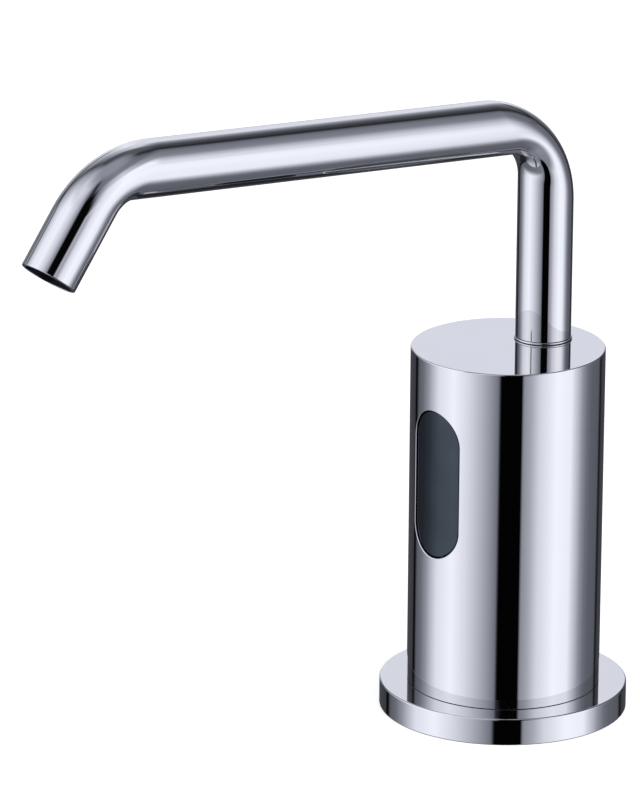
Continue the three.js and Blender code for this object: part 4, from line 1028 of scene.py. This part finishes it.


# The studio that polished surfaces mirror: a white room with soft grey and black strips on its
# walls. Each row is an angle round the object from the camera's side, in degrees,
# and the grey there as it looks on the chrome.
LOW_WALL = [
    (-163, 0.25), (-143, 0.22), (-140, 0.03), (-136, 0.03), (-131, 0.34),
    (-120, 0.41), (-109, 0.56), (-98, 0.75), (-90, 0.86), (-68, 0.94), (-49, 0.84),
    (-30, 0.67), (-19, 0.54), (-12, 0.43), (-9.5, 0.01), (15.5, 0.01), (18, 0.53), (27, 0.64),
    (38, 0.82), (60, 0.95), (80, 0.92), (86, 0.81), (99, 0.55), (108, 0.42), (117, 0.36),
    (135, 0.33), (140, 0.10), (143, 0.10), (147, 0.22), (164, 0.25),
]
MIDDLE_WALL = [
    (-180, 0.82), (-172, 0.90), (-160, 0.66), (-143, 0.30), (-128, 0.65), (-95, 0.92), (-60, 0.94),
    (-30, 0.72), (-9, 0.50), (-4, 0.02), (23, 0.02), (29, 0.50), (42, 0.85), (62, 0.96),
    (81, 0.94), (90, 0.73), (97, 0.57), (104, 0.45), (112, 0.40), (125, 0.40), (130, 0.33),
    (135, 0.21), (141, 0.18), (147, 0.30), (158, 0.39), (165, 0.58), (171, 0.86), (180, 0.82),
]
HIGH_WALL = [
    (-180, 0.80), (-158, 0.52), (-145, 0.24), (-128, 0.64), (-96, 0.90), (-65, 0.94),
    (-30, 0.78), (-9, 0.52), (-3, 0.02), (17, 0.02), (25, 0.46), (40, 0.68), (56, 0.78),
    (76, 0.62), (98, 0.50), (119, 0.42), (125, 0.35), (130, 0.16), (136, 0.17), (142, 0.24),
    (151, 0.29), (158, 0.42), (164, 0.56), (173, 0.80), (180, 0.80),
]
UPPER_WALL = [
    (-180, 0.31), (-148, 0.28), (-128, 0.60), (-96, 0.79), (-60, 0.83), (-28, 0.73), (-10, 0.48),
    (2, 0.16), (8, 0.18), (14, 0.41), (50, 0.48), (84, 0.44), (108, 0.37), (126, 0.16), (134, 0.20),
    (145, 0.32), (180, 0.33),
]
# A narrow belt at the camera's own elevation is what level faces mirror: the low wall once more,
# for the upright faces that they mirror, and this bright panel behind the object
BEHIND = [(-171, 0.82), (-164, 0.01), (164, 0.01), (171, 0.82)]
# Elevations in degrees over which the middle wall, the belt, the middle wall again, the high wall
# and the upper wall each take over from the one before
WALL_BLENDS = [(-12, 4), (15.5, 17), (20, 22.5), (31, 43), (46, 58)]
CEILING_GREY = 0.54
CEILING_BLEND = (64, 84)
# Underneath, nothing is lighter than these greys: painted shade under the object, which polished metal
# mirrors in place of the floor
UNDERFOOT_SHADE = [
    (-142, 0.13), (-131, 0.36), (45, 0.50), (62, 0.53), (75, 0.46), (88, 0.40), (98, 0.37),
    (110, 0.36), (131, 0.33), (142, 0.13),
]
UNDERFOOT_SHADE_BLEND = (-18, -45)
# The share of light that the chrome throws back, and the light that falls on dull surfaces
CHROME_LEVEL = 0.80
DIFFUSE_LEVEL = 0.55
# What is added to a grey to make the studio slightly blue, less to a dark one: so much to blue,
# and a part of that to green
BLUE_LIFT = 0.055
BLUE_OVER_GREEN = 5
BLUE_ONSET = 2.2


def linear(grey):
    """The light that a display grey stands for, by the usual display curve."""
    return ((grey + 0.055) / 1.055) ** 2.4 if grey > 0.04 else grey / 12.92


def mirrored(grey):
    """The colour round the object that chrome shows as a grey."""
    blue = BLUE_LIFT * min(1, BLUE_ONSET * grey)
    return (*(linear(grey + lift) / CHROME_LEVEL for lift in (0, blue / BLUE_OVER_GREEN, blue)), 1)


def studio_colour(graph):
    """The colour of the studio by the direction that a ray goes in."""
    coords = graph.add("ShaderNodeTexCoord").outputs["Generated"]

    def along(way):
        """How far the ray goes along a direction."""
        return graph.add(
            "ShaderNodeVectorMath", {0: coords, 1: way}, operation="DOT_PRODUCT").outputs["Value"]

    right, toward = spoke_at(CAMERA_AZIMUTH), direction(CAMERA_AZIMUTH, 0)
    angle = graph.calc("ARCTAN2", along(right), along(toward))
    share = graph.calc("MULTIPLY_ADD", angle, 1 / math.tau, 0.5)
    height = along(UP)

    def between(start, finish):
        """A share that goes from 0 to 1 between two elevations in degrees."""
        ranged = graph.add("ShaderNodeMapRange", {
            "Value": height, "From Min": math.sin(math.radians(start)),
            "From Max": math.sin(math.radians(finish))}, interpolation_type="SMOOTHSTEP")
        return ranged.outputs["Result"]

    def strips(rows):
        """The colour by the angle round the object."""
        node = graph.add("ShaderNodeValToRGB", {"Fac": share})
        ramp = node.color_ramp
        ramp.elements.remove(ramp.elements[1])
        for number, (degrees, grey) in enumerate(rows):
            place = degrees / 360 + 0.5
            element = ramp.elements.new(place) if number else ramp.elements[0]
            element.position = place
            element.color = mirrored(grey)
        return node.outputs["Color"]

    low, middle = strips(LOW_WALL), strips(MIDDLE_WALL)
    belt = graph.mixed(1.0, low, strips(BEHIND), "LIGHTEN")
    walls = (middle, belt, middle, strips(HIGH_WALL), strips(UPPER_WALL))
    studio = low
    for blend, wall in zip(WALL_BLENDS, walls):
        studio = graph.mixed(between(*blend), studio, wall)
    studio = graph.mixed(between(*CEILING_BLEND), studio, mirrored(CEILING_GREY))
    # Painted shade below the horizon, which polished metal mirrors under the object
    shade = graph.mixed(between(*UNDERFOOT_SHADE_BLEND), mirrored(1), strips(UNDERFOOT_SHADE))
    return graph.mixed(1.0, studio, shade, "DARKEN")


def make_world():
    """White to the camera and through glass, soft grey light, and the studio for polished metal."""
    world = bpy.data.worlds.new("surround")
    bpy.context.scene.world = world
    world.use_nodes = True
    graph = Graph(world.node_tree)
    graph.tree.nodes.clear()

    def backdrop(colour, strength):
        """A colour of the surround, at a strength."""
        node = graph.add("ShaderNodeBackground", {"Color": colour, "Strength": strength})
        return node.outputs["Background"]

    path = graph.add("ShaderNodeLightPath").outputs
    soft, studio = backdrop(WHITE, DIFFUSE_LEVEL), backdrop(studio_colour(graph), 1.0)
    lit = graph.either(path["Is Glossy Ray"], soft, studio)
    seen = graph.calc("MAXIMUM", path["Is Camera Ray"], path["Is Transmission Ray"])
    whole = graph.either(seen, lit, backdrop(WHITE, 1.0))
    graph.add("ShaderNodeOutputWorld", {"Surface": whole})


make_camera()
dress_nodes()
make_flange()
make_gasket()
make_shell()
make_grub_screw()
make_lens()
make_tube()
make_foot_ring()
make_nozzle()
make_spring()
make_floor()
make_lamp("key_lamp", azimuth=95, elevation=48, distance=1.2, size=0.9, power=6)
make_lamp("fill_lamp", azimuth=-20, elevation=35, distance=1.4, size=1.0, power=4)
make_world()
bpy.context.scene.view_settings.view_transform = "Standard"
